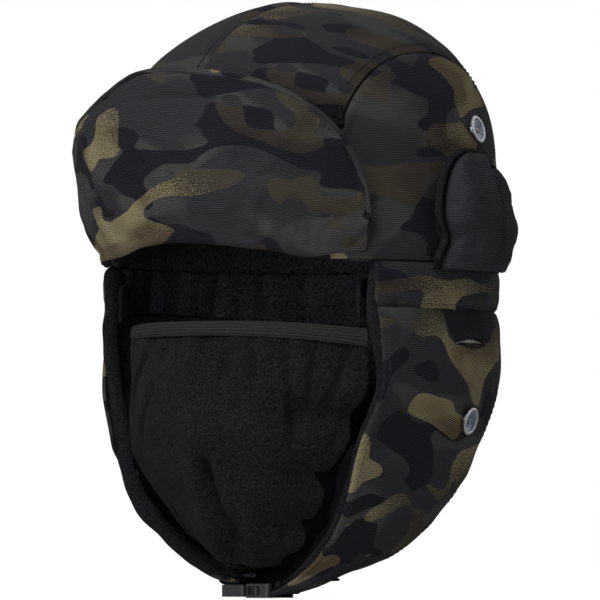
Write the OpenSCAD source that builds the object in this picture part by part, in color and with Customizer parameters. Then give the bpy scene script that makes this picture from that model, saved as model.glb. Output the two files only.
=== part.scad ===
// Insulated trapper hat: padded crown, turned-up front flap, ear flaps with a
// fold-down cover over each hearing slit, a wind mask on press studs and a
// chin strap with a side-release buckle.
// +Z is up, -Y is the face and +X is the wearer's left.
// The origin is the centre of the head opening, at the seam of crown and band.

/* [Crown] */
// Half width of the crown at its rim
crown_half_w = 87; // [83:1:91]
// Length of the crown's front half at its rim
crown_front_l = 112; // [107:1:116]
// Length of the crown's back half at its rim
crown_back_l = 98; // [93:1:104]
// Height of the crown above its rim
crown_h = 125; // [116:1:132]
// Squareness of the crown's profile, 2 is an ellipse
crown_power = 3.4; // [3:0.1:3.8]
// How far the top of the crown leans to the back
crown_back_shift = 11; // [6:1:14]
// Distance of the two long crown seams from the centre seam
seam_x = 63; // [56:1:68]
// Height of the brow edge above the rim, at the middle of the forehead
brow_rise = 10; // [4:1:14]

/* [Cloth] */
// Thickness of the printed outer cloth with its backing
shell_t = 2; // [1.5:0.1:2.4]
// Thickness of the fleece lining
lining_t = 3.5; // [2.5:0.5:4.5]
// Room between two layers that lie on each other
layer_gap = 0.15; // [0.1:0.05:0.3]
// Thickness of the lighter cloth of flap, covers and their backings
cover_cloth_t = 1.5; // [1.2:0.1:1.8]

/* [Band and skirt] */
// Height of the band below the crown
band_h = 21; // [17:1:25]
// How far the band swells between its two seams
band_swell = 1.2; // [0:0.2:2]
// Depth of the ear flaps' curved surface, from the band to the chin
skirt_h = 130; // [124:1:136]
// Squareness of the skirt's plan, 2 is an ellipse
skirt_power = 2.4; // [2.1:0.1:2.7]
// How far the skirt's centre moves towards the chin
chin_shift = 24; // [20:1:28]
// Angle from the front at which the band starts
temple_angle = 57; // [56:1:60]
// Distance of the ear flap's back edge behind the ears
flap_back_y = 62; // [54:1:66]
// Room between the ear flap and the nape curtain
vent_gap = 1; // [0.6:0.1:2]
// Drop of the nape curtain below the band
nape_drop = 88; // [76:1:92]
// Width of the elastic in the nape
nape_elastic_w = 12; // [8:1:16]

/* [Ear flaps] */
// Mean distance of the front edge in front of the ears
flap_front_y = 51; // [47:1:54]
// Sideways wave of the front edge
flap_front_wave = 3; // [0:0.5:4]
// Drop of the straight back edge below the band
flap_back_drop = 63; // [55:1:68]
// Drop of the flap's tip below the band
flap_tip_drop = 126; // [120:1:127]
// Width of the flap's tip
flap_tip_w = 36; // [30:1:40]
// Radius of the rolled fleece edge
roll_r = 2; // [1.5:0.1:2.5]
// Length of the hearing slit
slit_l = 26; // [20:1:32]
// Gape of the hearing slit
slit_gape = 3.6; // [2:0.2:3.8]
// Depth of the hearing slit below the rim
slit_drop = 37; // [34:1:44]

/* [Front flap] */
// Half angle that the front flap covers
flap_wrap = 58; // [54:1:59]
// Height of the front flap
flap_h = 79; // [74:1:88]
// Dip of the flap's top edge on the wearer's right
flap_dip = 7; // [0:1:9]
// How far the flap's face stands off the crown's rim line
flap_bulge = 12; // [10:1:15]
// Thickness of the flap's padding
flap_pad_t = 3.6; // [2.5:0.1:4]
// Length of each hook-and-loop patch
patch_l = 22; // [16:1:26]
// Height of each hook-and-loop patch
patch_h = 14; // [10:1:18]
// Thickness of each hook-and-loop patch
patch_t = 1.6; // [1.2:0.1:2]

/* [Ear covers] */
// Width of an ear cover
cover_w = 66; // [58:1:70]
// Height of an ear cover
cover_h = 54; // [48:1:55]
// Thickness of the padding at its thickest
cover_pad_t = 10; // [7:0.5:11]
// Distance of the ear covers' middle behind the hat's middle
ear_y = 12; // [6:1:18]

/* [Buttons] */
// Diameter of the dished metal buttons
button_d = 13; // [11:0.5:15]
// Depth of the dish in a button
dish_depth = 1.2; // [0.6:0.1:1.6]
// Diameter of a button's tack
tack_d = 2.2; // [1.6:0.1:2.6]
// Height of the upper buttons above the rim
upper_button_z = 63; // [62:1:66]
// Depth of the lower buttons below the rim
lower_button_drop = 72; // [64:1:78]

/* [Mask] */
// Height of the mask's ribbed top edge
mask_band_h = 8.5; // [7:0.5:10]
// Depth of the mask's top edge below the rim
mask_top_drop = 26; // [24:1:30]
// Height of the mask below its ribbed edge
mask_h = 106; // [96:1:108]
// How far the nose of the mask stands in front of the ears
mask_nose_y = 100; // [92:1:104]
// Thickness of the mask's fleece
mask_t = 2.5; // [1.5:0.1:3]
// Diameter of the press studs that carry the mask
stud_d = 10; // [8:0.5:11]

/* [Chin strap] */
// Width of the webbing
strap_w = 15; // [12:1:16]
// Thickness of the webbing
strap_t = 1.4; // [1:0.1:1.6]
// Thickness of the buckle
buckle_t = 6.6; // [6:0.1:7]
// Travel of the buckle's tongue until it is free
release = 9; // [6:0.5:9]

/* [Hidden] */

print_cloth = "#3f4043";
plain_cloth = "#35363a";
fleece = "#1c1c1f";
elastic = "#4a4b50";
webbing = "#232326";
plastic = "#26282b";
metal = "#b9bcc0";

seam_gap = 0.2;          // room between two panels at a seam
lining_in = shell_t + layer_gap;             // depth of the lining's outer face
lining_out = lining_in + lining_t;           // depth of the lining's inner face
ear_line_back = ear_y + 7;                   // the buttons sit behind the covers' middle
button_r = button_d / 2;
tack_hole_d = tack_d + 0.4;

// ---------------------------------------------------------------- surfaces
// Each surface is a function of an angle from the front (psi, growing towards
// +X) or a place along Y, a height, and a depth below the outer face.

function power0(v, p) = pow(max(v, 0), p);

// Share of the way up the crown's profile, 0 at the rim and 1 at the top.
function profile_in(w) = power0(cos(90 * w), 1);
function profile_up(w) = power0(sin(90 * w), 2 / crown_power);
function profile_at(z, depth) = asin(power0(z / (crown_h - depth), crown_power / 2)) / 90;

// The plan is half an ellipse to the front and a shorter one to the back.
function reach_l(front) = front > 0 ? crown_front_l : crown_back_l;

function crown_pt(psi, w, depth) = [
    (crown_half_w - depth) * profile_in(w) * sin(psi),
    crown_back_shift * profile_up(w) - (reach_l(cos(psi)) - depth) * profile_in(w) * cos(psi),
    (crown_h - depth) * profile_up(w)];

// The brow edge rises between the ends of the front flap.
function brow_z(psi) = abs(psi) < flap_wrap ? brow_rise * pow(cos(90 * psi / flap_wrap), 1.4) : 0;

function rim_pt(psi, depth) =
    let (p = crown_pt(psi, 0, depth))
    [p.x, p.y, brow_z(psi)];

// A point of the crown on the plane x, at u from -1 (front rim) to 1 (back rim).
function crown_plane_pt(x, u, depth) =
    let (a = crown_half_w - depth, b = reach_l(-u) - depth, h = crown_h - depth)
    let (top = h * power0(1 - pow(x / a, 2), 1 / crown_power))
    let (z = top * profile_up(1 - abs(u)))
    let (y = sign(u) * b * sqrt(max(0, 1 - pow(z / h, crown_power) - pow(x / a, 2))))
    [x, y + crown_back_shift * z / h, u == -1 ? brow_z(asin(x / a)) : z];

// A point of the side panel: s runs from its front tip to its back tip,
// v from the rim up to the long seam.
function crown_side_pt(s, v, depth) =
    let (a = crown_half_w - depth, edge = seam_x + seam_gap / 2)
    let (tip = asin(edge / a) + 0.3)
    let (psi = tip + (180 - 2 * tip) * (1 - cos(180 * s)) / 2)
    let (reach = acos(edge / (a * sin(psi))) / 90)
    v == 0 ? rim_pt(psi, depth) : crown_pt(psi, reach * v, depth);

// Outer face of the crown's side at a place along Y and a height.
function crown_side_x(y, z) =
    let (w = profile_at(z, 0))
    let (yc = crown_back_shift * profile_up(w), b = reach_l(yc - y) * profile_in(w))
    crown_half_w * profile_in(w) * sqrt(max(0, 1 - pow((y - yc) / b, 2)));

// The skirt of ear flaps and nape curtain, from the band down to the chin.
function skirt_share(z, depth) = (-band_h - z) / (skirt_h - depth);
function skirt_in(z, depth) = power0(1 - pow(max(0, skirt_share(z, depth)), 2), 0.42);
function skirt_yc(z) = -chin_shift * pow(max(0, skirt_share(z, 0)), 1.6);
function skirt_half_w(z, depth) = (crown_half_w - depth) * skirt_in(z, depth);
function skirt_half_l(front, z, depth) = (reach_l(front) - depth) * pow(skirt_in(z, depth), 1.15);
// The plan goes over from the band's ellipse to the squarer skirt.
function plan_power(z) = 2 + (skirt_power - 2) * min(1, max(0, skirt_share(z, 0)) / 0.3);
function signed_power(v, p) = sign(v) * pow(abs(v), p);
function skirt_pt(psi, z, depth) = [
    skirt_half_w(z, depth) * signed_power(sin(psi), 2 / plan_power(z)),
    skirt_yc(z) - skirt_half_l(cos(psi), z, depth) * signed_power(cos(psi), 2 / plan_power(z)),
    z];
function skirt_psi(y, z, depth = 0) =
    let (front = skirt_yc(z) - y)
    acos(signed_power(front / skirt_half_l(front, z, depth), plan_power(z) / 2));
function skirt_x(y, z, depth = 0) = skirt_pt(skirt_psi(y, z, depth), z, depth).x;

// Outline of an ear flap: its front and back edge at a height.
tip_z = -band_h - flap_tip_drop;
back_corner_z = -band_h - flap_back_drop;
flap_top_z = -band_h - 0.6;
function flap_front(z) = -flap_front_y - flap_front_wave * cos(4.5 * (-band_h - z));
// The back edge is straight down to its corner, then bends to the tip.
function vent_psi(z, y) = skirt_psi(y, max(z, back_corner_z));
function flap_back_psi(z) =
    let (v = max(0, (back_corner_z - z) / (back_corner_z - tip_z)))
    let (corner = vent_psi(z, flap_back_y))
    let (tip = skirt_psi(flap_front(tip_z) + flap_tip_w, tip_z))
    corner + (tip - corner) * pow(v, 3);

// Heights of the rows that an ear flap is built on, from its tip to its top.
flap_low_rows = 8;
flap_high_rows = 4;
flap_rows = concat(
    [for (k = [0 : flap_low_rows])
        tip_z + (back_corner_z - tip_z) * (1 - cos(180 * k / flap_low_rows)) / 2],
    [for (k = [1 : flap_high_rows])
        back_corner_z + (flap_top_z - back_corner_z) * k / flap_high_rows]);

// A point of the front flap: psi across, v from the brow to the top edge.
function flap_top(psi) =
    let (share = abs(psi) / flap_wrap)
    brow_z(psi) + flap_h * power0(1 - pow(share, 4), 1 / 2.2)
        - (psi < 0 ? flap_dip * pow(sin(180 * share), 2) : 0);
flap_base_off = 4;       // the flap's face in front of the crown at the brow
function flap_off(v) = flap_base_off + (flap_bulge - flap_base_off) * (1 - power0(1 - v, 2.2))
    - 2.5 * pow(v, 6);
function flap_pt(psi, v, depth) =
    let (off = flap_off(v) - depth, base = brow_z(psi) + 1)
    [(crown_half_w + off) * sin(psi), -(crown_front_l + off) * cos(psi),
        base + (flap_top(psi) - base) * v];
// The padding thins out to its sewn edges.
function flap_fill(psi, v) =
    let (across = 1 - pow(abs(psi) / flap_wrap, 6), up = 1 - pow(abs(2 * v - 1), 3))
    0.3 + (flap_pad_t - 0.3) * across * up;

// ------------------------------------------------------------------ solids
// A sheet of cloth between an outer and an inner grid of points. Rows go up
// and columns go round towards +X.
module sheet(outer, inner) {
    rows = len(outer);
    cols = len(outer[0]);
    count = rows * cols;
    function id(side, r, c) = side * count + r * cols + c;
    function quad(a, b, c, d) = [[a, b, c], [a, c, d]];
    faces = concat(
        [for (r = [0 : rows - 2], c = [0 : cols - 2])
            each quad(id(0, r, c), id(0, r + 1, c), id(0, r + 1, c + 1), id(0, r, c + 1))],
        [for (r = [0 : rows - 2], c = [0 : cols - 2])
            each quad(id(1, r, c), id(1, r, c + 1), id(1, r + 1, c + 1), id(1, r + 1, c))],
        [for (c = [0 : cols - 2])
            each quad(id(0, 0, c), id(0, 0, c + 1), id(1, 0, c + 1), id(1, 0, c))],
        [for (c = [0 : cols - 2])
            each quad(id(0, rows - 1, c + 1), id(0, rows - 1, c),
                id(1, rows - 1, c), id(1, rows - 1, c + 1))],
        [for (r = [0 : rows - 2])
            each quad(id(0, r + 1, 0), id(0, r, 0), id(1, r, 0), id(1, r + 1, 0))],
        [for (r = [0 : rows - 2])
            each quad(id(0, r, cols - 1), id(0, r + 1, cols - 1),
                id(1, r + 1, cols - 1), id(1, r, cols - 1))]);
    polyhedron([for (grid = [outer, inner], row = grid) each row], faces, convexity = 4);
}

// A closed dome of cloth from rings that all have the same number of points.
module dome(outer, inner, outer_top, inner_top) {
    rows = len(outer);
    cols = len(outer[0]);
    count = rows * cols;
    function id(side, r, c) = side * count + r * cols + c % cols;
    function quad(a, b, c, d) = [[a, b, c], [a, c, d]];
    top_out = 2 * count;
    top_in = top_out + 1;
    faces = concat(
        [for (r = [0 : rows - 2], c = [0 : cols - 1])
            each quad(id(0, r, c), id(0, r + 1, c), id(0, r + 1, c + 1), id(0, r, c + 1))],
        [for (r = [0 : rows - 2], c = [0 : cols - 1])
            each quad(id(1, r, c), id(1, r, c + 1), id(1, r + 1, c + 1), id(1, r + 1, c))],
        [for (c = [0 : cols - 1])
            each quad(id(0, 0, c), id(0, 0, c + 1), id(1, 0, c + 1), id(1, 0, c))],
        [for (c = [0 : cols - 1]) [id(0, rows - 1, c), top_out, id(0, rows - 1, c + 1)]],
        [for (c = [0 : cols - 1]) [id(1, rows - 1, c + 1), top_in, id(1, rows - 1, c)]]);
    points = concat([for (grid = [outer, inner], row = grid) each row], [outer_top, inner_top]);
    polyhedron(points, faces, convexity = 4);
}

// A round roll along a path, with flat ends.
module roll(path, r, sides) {
    n = len(path);
    function unit(v) = v / norm(v);
    function along(k) = unit(path[min(k + 1, n - 1)] - path[max(k - 1, 0)]);
    function side_of(k) = unit(cross(along(k), [0.3, 0.1, 1]));
    points = [for (k = [0 : n - 1], s = [0 : sides - 1])
        path[k] + r * cos(360 * s / sides) * side_of(k)
            + r * sin(360 * s / sides) * cross(along(k), side_of(k))];
    faces = concat(
        [for (k = [0 : n - 2], s = [0 : sides - 1])
            let (t = (s + 1) % sides)
            each [[k * sides + s, (k + 1) * sides + s, (k + 1) * sides + t],
                [k * sides + s, (k + 1) * sides + t, k * sides + t]]],
        [[for (s = [0 : sides - 1]) s]],
        [[for (s = [sides - 1 : -1 : 0]) (n - 1) * sides + s]]);
    polyhedron(points, faces, convexity = 4);
}

// Puts its children at a point with +Z along the surface's normal.
module on_surface(p, n) {
    translate(p)
        rotate([0, acos(n.z / norm(n)), atan2(n.y, n.x)])
            children();
}

module both_sides() {
    children();
    mirror([1, 0, 0]) children();
}

// ------------------------------------------------------------------- crown
top_cols = 7;
top_rows = 9;
function top_grid(depth) = [for (c = [-top_rows : top_rows])
    [for (k = [0 : top_cols])
        crown_plane_pt(seam_gap / 2 + (seam_x - seam_gap) * k / top_cols, c / top_rows, depth)]];

module crown_top() {
    sheet(top_grid(0), top_grid(shell_t));
}

module crown_top_left() {
    color(print_cloth) crown_top();
}

module crown_top_right() {
    color(print_cloth) mirror([1, 0, 0]) crown_top();
}

side_cols = 14;
side_rows = 5;
function side_grid(depth) = [for (r = [0 : side_rows])
    [for (c = [0 : side_cols]) crown_side_pt(c / side_cols, r / side_rows, depth)]];

// Place and normal of the upper button on the crown's side.
upper_w = profile_at(upper_button_z, 0);
upper_y = ear_line_back;
upper_p = [crown_side_x(upper_y, upper_button_z), upper_y, upper_button_z];
upper_n = [1, (crown_side_x(upper_y - 4, upper_button_z) - crown_side_x(upper_y + 4, upper_button_z)) / 8,
    (crown_side_x(upper_y, upper_button_z - 4) - crown_side_x(upper_y, upper_button_z + 4)) / 8];

module upper_tack_hole() {
    on_surface(upper_p, upper_n)
        translate([0, 0, -lining_out - 4])
            cylinder(h = lining_out + 8, d = tack_hole_d, $fn = 32);
}

module crown_side() {
    difference() {
        sheet(side_grid(0), side_grid(shell_t));
        upper_tack_hole();
    }
}

module crown_side_left() {
    color(print_cloth) crown_side();
}

module crown_side_right() {
    color(print_cloth) mirror([1, 0, 0]) crown_side();
}

lining_cols = 32;
lining_rows = 8;
lining_rim = 0.4;        // the lining stops this far above the band's lining
dome_gap = 0.9;          // more room between the domes, which bend both ways
function lining_ring(row, depth) = [for (c = [0 : lining_cols - 1])
    let (psi = -180 + 360 * c / lining_cols)
    row == 0 ? rim_pt(psi, depth) + [0, 0, lining_rim]
        : crown_pt(psi, 0.08 + 0.84 * (row - 1) / (lining_rows - 1), depth)];

module crown_lining() {
    color(fleece)
        difference() {
            dome([for (r = [0 : lining_rows]) lining_ring(r, lining_in + dome_gap)],
                [for (r = [0 : lining_rows]) lining_ring(r, lining_out + dome_gap)],
                crown_pt(0, 1, lining_in + dome_gap), crown_pt(0, 1, lining_out + dome_gap));
            both_sides() upper_tack_hole();
        }
}

binding_r = 2.2;
module brow_binding() {
    depth = lining_out / 2;
    path = [for (k = [-10 : 10])
        let (psi = (temple_angle - 3) * k / 10)
        rim_pt(psi, depth) - [0, 0, binding_r + 0.2]];
    color(fleece) roll(path, binding_r, 8);
}

// -------------------------------------------------------------------- band
band_cols = 24;
function band_depth(v) = -band_swell * sin(180 * v) + 1.2 * (1 - v) * (1 - v);
function band_grid(inner, depth) = [for (r = [0 : 4])
    let (v = r / 4, z = -band_h + (band_h - 0.2) * v)
    [for (c = [0 : band_cols])
        let (psi = temple_angle + (360 - 2 * temple_angle) * c / band_cols)
        let (p = crown_pt(psi, 0, inner ? depth : band_depth(v) + depth))
        [p.x, p.y, z]]];

module side_band() {
    color(print_cloth) sheet(band_grid(false, 0), band_grid(true, shell_t));
}

module band_lining() {
    color(fleece) sheet(band_grid(true, lining_in), band_grid(true, lining_out));
}

// -------------------------------------------------------------------- nape
nape_cols = 14;
nape_rows = 7;
function nape_hem(psi) = -band_h - nape_drop - 8 * pow(cos(1.5 * (psi - 180)), 2);
function nape_grid(depth) = [for (r = [0 : nape_rows])
    [for (c = [0 : nape_cols])
        let (v = r / nape_rows, top = flap_top_z)
        let (about = 135 + 90 * c / nape_cols)
        let (z = top + (nape_hem(about) - top) * (1 - v))
        let (start = vent_psi(z, flap_back_y + vent_gap))
        skirt_pt(start + (360 - 2 * start) * c / nape_cols, z, depth)]];

module nape_curtain() {
    color(print_cloth) sheet(nape_grid(0), nape_grid(shell_t));
}

elastic_t = 0.8;
nape_gap = 0.4;          // room on each side of the elastic
elastic_in = shell_t + nape_gap;
nape_lining_in = elastic_in + elastic_t + nape_gap;
module nape_lining() {
    color(fleece) sheet(nape_grid(nape_lining_in), nape_grid(nape_lining_in + lining_t));
}

function elastic_grid(depth) = [for (r = [0 : 1])
    [for (c = [0 : nape_cols])
        let (psi = 130 + 100 * c / nape_cols)
        skirt_pt(psi, flap_top_z - 3 - nape_elastic_w * (1 - r), depth)]];

module nape_elastic() {
    color(elastic)
        sheet(elastic_grid(elastic_in), elastic_grid(elastic_in + elastic_t));
}

// ----------------------------------------------------- hook-and-loop patches
patch_half = patch_l / crown_front_l * 30;   // half a patch, as an angle
crown_patch_psi = 44;    // middle of each crown patch, from the front
crown_patch_z = 68;
function patch_grid(depth) = [for (r = [0 : 2])
    let (w = profile_at(crown_patch_z - patch_h / 2 + patch_h * r / 2, 0))
    [for (c = [0 : 4])
        crown_pt(crown_patch_psi - patch_half + patch_half * c / 2, w, depth)]];

module crown_patches() {
    color(fleece)
        both_sides()
            sheet(patch_grid(-layer_gap - patch_t), patch_grid(-layer_gap));
}

// ----------------------------------------------------------------- buttons
shank_h = 1.6;           // the cap stands this far off the cloth
cap_rim = 0.8;           // thickness of the cap's edge
module button_cap() {
    translate([0, 0, 0.35])
        rotate_extrude($fn = 48)
            polygon([[tack_d / 2 + 0.1, 0], [3.4, 0], [3, shank_h], [button_r - 0.6, shank_h],
                [button_r, shank_h + 0.4], [button_r, shank_h + cap_rim],
                [button_r - 0.5, shank_h + cap_rim + 0.5],
                [button_r - 1.2, shank_h + cap_rim + 0.5],
                [2.4, shank_h + cap_rim + 0.5 - dish_depth * 0.75],
                [1.6, shank_h + cap_rim + 0.5 - dish_depth], [tack_d / 2 + 0.1, shank_h + 0.7]]);
}

// The tack: a plate against the lining and a nail up into the cap.
module button_tack(depth) {
    plate = 0.8;
    translate([0, 0, -depth - 0.5 - plate])
        union() {
            cylinder(h = plate, r = button_r - 1.5, $fn = 48);
            cylinder(h = plate + depth + 0.5 + shank_h + 0.7, d = tack_d, $fn = 32);
        }
}

module upper_buttons() {
    color(metal) both_sides() on_surface(upper_p, upper_n) button_cap();
}

tack_room = 0.9;         // the dome of the lining is made of flats, which lie a little further in
module upper_button_tacks() {
    color(metal)
        both_sides()
            on_surface(upper_p, upper_n)
                button_tack(lining_out + dome_gap + tack_room);
}

// -------------------------------------------------------------- front flap
flap_cols = 20;
flap_grid_rows = 7;
function flap_psi(c) = 0.993 * flap_wrap * sin(90 * (2 * c / flap_cols - 1));
// Each layer lies at the face's depth plus so many shares of the padding.
function flap_layer(depth, share) = [for (r = [0 : flap_grid_rows])
    [for (c = [0 : flap_cols])
        let (psi = flap_psi(c), v = r / flap_grid_rows)
        flap_pt(psi, v, depth + share * flap_fill(psi, v))]];

module flap_facing() {
    color(print_cloth) sheet(flap_layer(0, 0), flap_layer(cover_cloth_t, 0));
}

module flap_padding() {
    depth = cover_cloth_t + layer_gap;
    color("#d8d8d4") sheet(flap_layer(depth, 0), flap_layer(depth, 1));
}

module flap_backing() {
    depth = cover_cloth_t + 2 * layer_gap;
    color(fleece) sheet(flap_layer(depth, 1), flap_layer(depth + cover_cloth_t, 1));
}

flap_patch_psi = 35;     // the flap's patches catch the front half of the crown's
flap_patch_z = 58;
module flap_patches() {
    depth = 2 * cover_cloth_t + 4.5 * layer_gap;
    function grid(extra) = [for (r = [0 : 2])
        let (z = flap_patch_z - patch_h / 2 + patch_h * r / 2)
        [for (c = [0 : 4])
            let (psi = flap_patch_psi - patch_half + patch_half * c / 2, base = brow_z(psi) + 1)
            let (v = (z - base) / (flap_top(psi) - base))
            flap_pt(psi, v, depth + flap_fill(psi, v) + extra)]];
    color(fleece) both_sides() sheet(grid(0), grid(patch_t));
}

// -------------------------------------------------------------- ear covers
cover_rows = 7;
cover_cols = 8;
cover_base_z = 0.8;
function cover_half(z) = cover_w / 2 * power0(1 - pow(z / (cover_h * 1.02), 5), 1 / 3);
function cover_gap(z) = 0.8 + 2.6 * pow(z / cover_h, 1.5);
function cover_fill(s, z) =
    let (up = 0.5 + 0.5 * sin(180 * pow(z / cover_h, 0.75)))
    let (end = 1 - pow(z / cover_h, 8))
    0.4 + (cover_pad_t - 0.4) * (1 - pow(abs(s), 4)) * up * end;
function cover_layer(depth, share) = [for (r = [0 : cover_rows])
    let (z = cover_base_z + (cover_h - cover_base_z) * sin(90 * r / cover_rows))
    [for (c = [0 : cover_cols])
        let (s = sin(90 * (2 * c / cover_cols - 1)), y = ear_y + s * cover_half(z))
        [crown_side_x(y, z) + cover_gap(z) + depth + share * cover_fill(s, z), y, z]]];

module cover_back() {
    color(fleece) sheet(cover_layer(cover_cloth_t, 0), cover_layer(0, 0));
}

module cover_padding() {
    depth = cover_cloth_t + layer_gap;
    color("#d8d8d4") sheet(cover_layer(depth, 1), cover_layer(depth, 0));
}

module cover_face() {
    depth = cover_cloth_t + 2 * layer_gap;
    color(plain_cloth) sheet(cover_layer(depth + cover_cloth_t, 1), cover_layer(depth, 1));
}

// The elastic loop is tucked behind the cover's tip.
loop_r = 0.9;
module cover_loop() {
    bow = 5;
    path = [for (k = [0 : 10])
        let (turn = 18 * k, y = ear_line_back - bow * cos(turn))
        let (z = cover_h - 12 + 9 * sin(turn))
        [crown_side_x(y, z) + cover_gap(z) / 2, y, z]];
    color(elastic) roll(path, loop_r, 6);
}

module ear_cover_face_left() { cover_face(); }
module ear_cover_padding_left() { cover_padding(); }
module ear_cover_back_left() { cover_back(); }
module ear_cover_loop_left() { cover_loop(); }
module ear_cover_face_right() { mirror([1, 0, 0]) cover_face(); }
module ear_cover_padding_right() { mirror([1, 0, 0]) cover_padding(); }
module ear_cover_back_right() { mirror([1, 0, 0]) cover_back(); }
module ear_cover_loop_right() { mirror([1, 0, 0]) cover_loop(); }

// --------------------------------------------------------------- ear flaps
flap_skirt_cols = 9;
function ear_grid(depth) = [for (z = flap_rows)
    let (from = skirt_psi(flap_front(z), z), to = flap_back_psi(z))
    [for (c = [0 : flap_skirt_cols])
        skirt_pt(from + (to - from) * c / flap_skirt_cols, z, depth)]];

// The hearing slit is a lens between two arcs.
module slit_cut() {
    r = (slit_l * slit_l / 4 + slit_gape * slit_gape / 4) / slit_gape;
    translate([crown_half_w - 20, ear_y, -slit_drop])
        rotate([0, 90, 0])
            intersection() {
                translate([r - slit_gape / 2, 0, 0]) cylinder(h = 40, r = r, $fn = 96);
                translate([slit_gape / 2 - r, 0, 0]) cylinder(h = 40, r = r, $fn = 96);
            }
}

lower_y = ear_line_back - 4;
lower_z = -lower_button_drop;
lower_p = [skirt_x(lower_y, lower_z), lower_y, lower_z];
lower_n = [1, (skirt_x(lower_y - 4, lower_z) - skirt_x(lower_y + 4, lower_z)) / 8,
    (skirt_x(lower_y, lower_z - 4) - skirt_x(lower_y, lower_z + 4)) / 8];

module lower_tack_hole() {
    on_surface(lower_p, lower_n)
        translate([0, 0, -lining_out - 4])
            cylinder(h = lining_out + 8, d = tack_hole_d, $fn = 32);
}

module ear_shell() {
    color(print_cloth)
        difference() {
            sheet(ear_grid(0), ear_grid(shell_t));
            slit_cut();
            lower_tack_hole();
        }
}

module ear_lining() {
    color(fleece)
        difference() {
            sheet(ear_grid(lining_in), ear_grid(lining_out));
            slit_cut();
            lower_tack_hole();
        }
}

// The lining is rolled over the front edge.
module ear_edge() {
    rings = 14;
    bottom = tip_z + 7.5;
    clear = 2.3;             // from the shell's edge to the roll
    path = [for (k = [0 : rings])
        let (z = bottom + (flap_top_z - 2 - bottom) * k / rings)
        skirt_pt(skirt_psi(flap_front(z), z), z, lining_out / 2) - [0, roll_r + clear, 0]];
    color(fleece) roll(path, roll_r, 8);
}

module ear_button() {
    color(metal) on_surface(lower_p, lower_n) button_cap();
}

module ear_tack() {
    color(metal) on_surface(lower_p, lower_n) button_tack(lining_out);
}

module ear_flap_shell_left() { ear_shell(); }
module ear_flap_lining_left() { ear_lining(); }
module ear_flap_edge_left() { ear_edge(); }
module lower_button_left() { ear_button(); }
module lower_button_tack_left() { ear_tack(); }
module ear_flap_shell_right() { mirror([1, 0, 0]) ear_shell(); }
module ear_flap_lining_right() { mirror([1, 0, 0]) ear_lining(); }
module ear_flap_edge_right() { mirror([1, 0, 0]) ear_edge(); }
module lower_button_right() { mirror([1, 0, 0]) ear_button(); }
module lower_button_tack_right() { mirror([1, 0, 0]) ear_tack(); }

// -------------------------------------------------- chin strap and buckle
strap_set = 13;                  // the webbing starts this far behind the flap's front edge
strap_y = flap_front(tip_z) + strap_set;
strap_drop = 4.4;                // from the flaps' tips to the middle of the buckle
strap_z = tip_z - strap_drop;      // middle height of the webbing at the buckle
tip_x = skirt_pt(skirt_psi(strap_y, tip_z), tip_z, shell_t).x;
housing_l = 14;                  // length of the buckle's housing
housing_x = -3;                  // its mouth
mouth_side = 1;                  // and its mouth this much
buckle_side = 3.5;               // the housing is this much wider than the webbing on each side
buckle_w = strap_w + 2 * buckle_side;
bar_t = 2.2;                     // each bar that webbing goes round
slot_w = 2 * strap_t + 0.6;
fit_gap = 0.3;

// A ribbon of the strap's thickness along points in the XZ plane.
module ribbon(points) {
    n = len(points);
    function unit(v) = v / norm(v);
    function along(k) = unit(points[min(k + 1, n - 1)] - points[max(k - 1, 0)]);
    function side_pt(k, s) = points[k] + s * strap_t / 2 * [-along(k).y, along(k).x];
    outline = concat([for (k = [0 : n - 1]) side_pt(k, 1)],
        [for (k = [n - 1 : -1 : 0]) side_pt(k, -1)]);
    translate([0, strap_y + strap_w / 2, 0])
        rotate([90, 0, 0])
            linear_extrude(strap_w)
                polygon(outline);
}

module chin_strap_left() {
    bar_x = housing_x + housing_l - bar_t / 2;
    wrap = bar_t / sqrt(2) + strap_t / 2 + 0.15;
    color(webbing)
        ribbon(concat(
            [[tip_x, tip_z - 0.9], [tip_x - 4, tip_z - 1.6], [tip_x - 8, strap_z + wrap]],
            [for (turn = [90 : 20 : 270])
                [bar_x + wrap * cos(turn), strap_z + wrap * sin(turn)]],
            [[bar_x + 5, strap_z - wrap]]));
}

// Only the stub below the flap's tip: the tongue slides up to it.
module chin_strap_right() {
    free_end = min(-tip_x, housing_x - housing_l - release - strap_t) - strap_t / 2;
    under_tip = tip_z - strap_t / 2 - layer_gap;
    color(webbing)
        ribbon([[-tip_x, under_tip], [free_end, under_tip], [free_end, strap_z]]);
}

// A plate with rounded corners in the XY plane, from x0 to x1.
module plate(x0, x1, w, t, r) {
    translate([0, 0, -t / 2])
        linear_extrude(t)
            translate([x0, -w / 2])
                union() {
                    translate([r, 0]) square([x1 - x0 - 2 * r, w]);
                    translate([0, r]) square([x1 - x0, w - 2 * r]);
                    for (x = [r, x1 - x0 - r], y = [r, w - r])
                        translate([x, y]) circle(r, $fn = 32);
                }
}

module buckle_female() {
    mouth_w = strap_w + 2 * mouth_side;
    color(plastic)
        translate([0, strap_y, strap_z])
            difference() {
                plate(housing_x, housing_x + housing_l, buckle_w, buckle_t, 2.5);
                translate([housing_x - 1, -mouth_w / 2, -buckle_t / 2 + 1.2])
                    cube([housing_l - 3.2 - slot_w, mouth_w, buckle_t - 2.4]);
                for (s = [-1, 1])
                    translate([housing_x + 5.2, s * buckle_w / 2, 0])
                        cylinder(h = buckle_t - 2.4, r = 3.2, center = true, $fn = 48);
                translate([housing_x + housing_l - bar_t - slot_w, -strap_w / 2 - 0.5, -buckle_t])
                    cube([slot_w, strap_w + 1, 2 * buckle_t]);
                // room for the webbing round the bar
                for (s = [-1, 1])
                    translate([housing_x + housing_l - bar_t, -strap_w / 2 - 0.5,
                        s * (bar_t + buckle_t) / 2 - buckle_t / 2])
                        cube([bar_t + 1, strap_w + 1, buckle_t]);
            }
}

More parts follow.
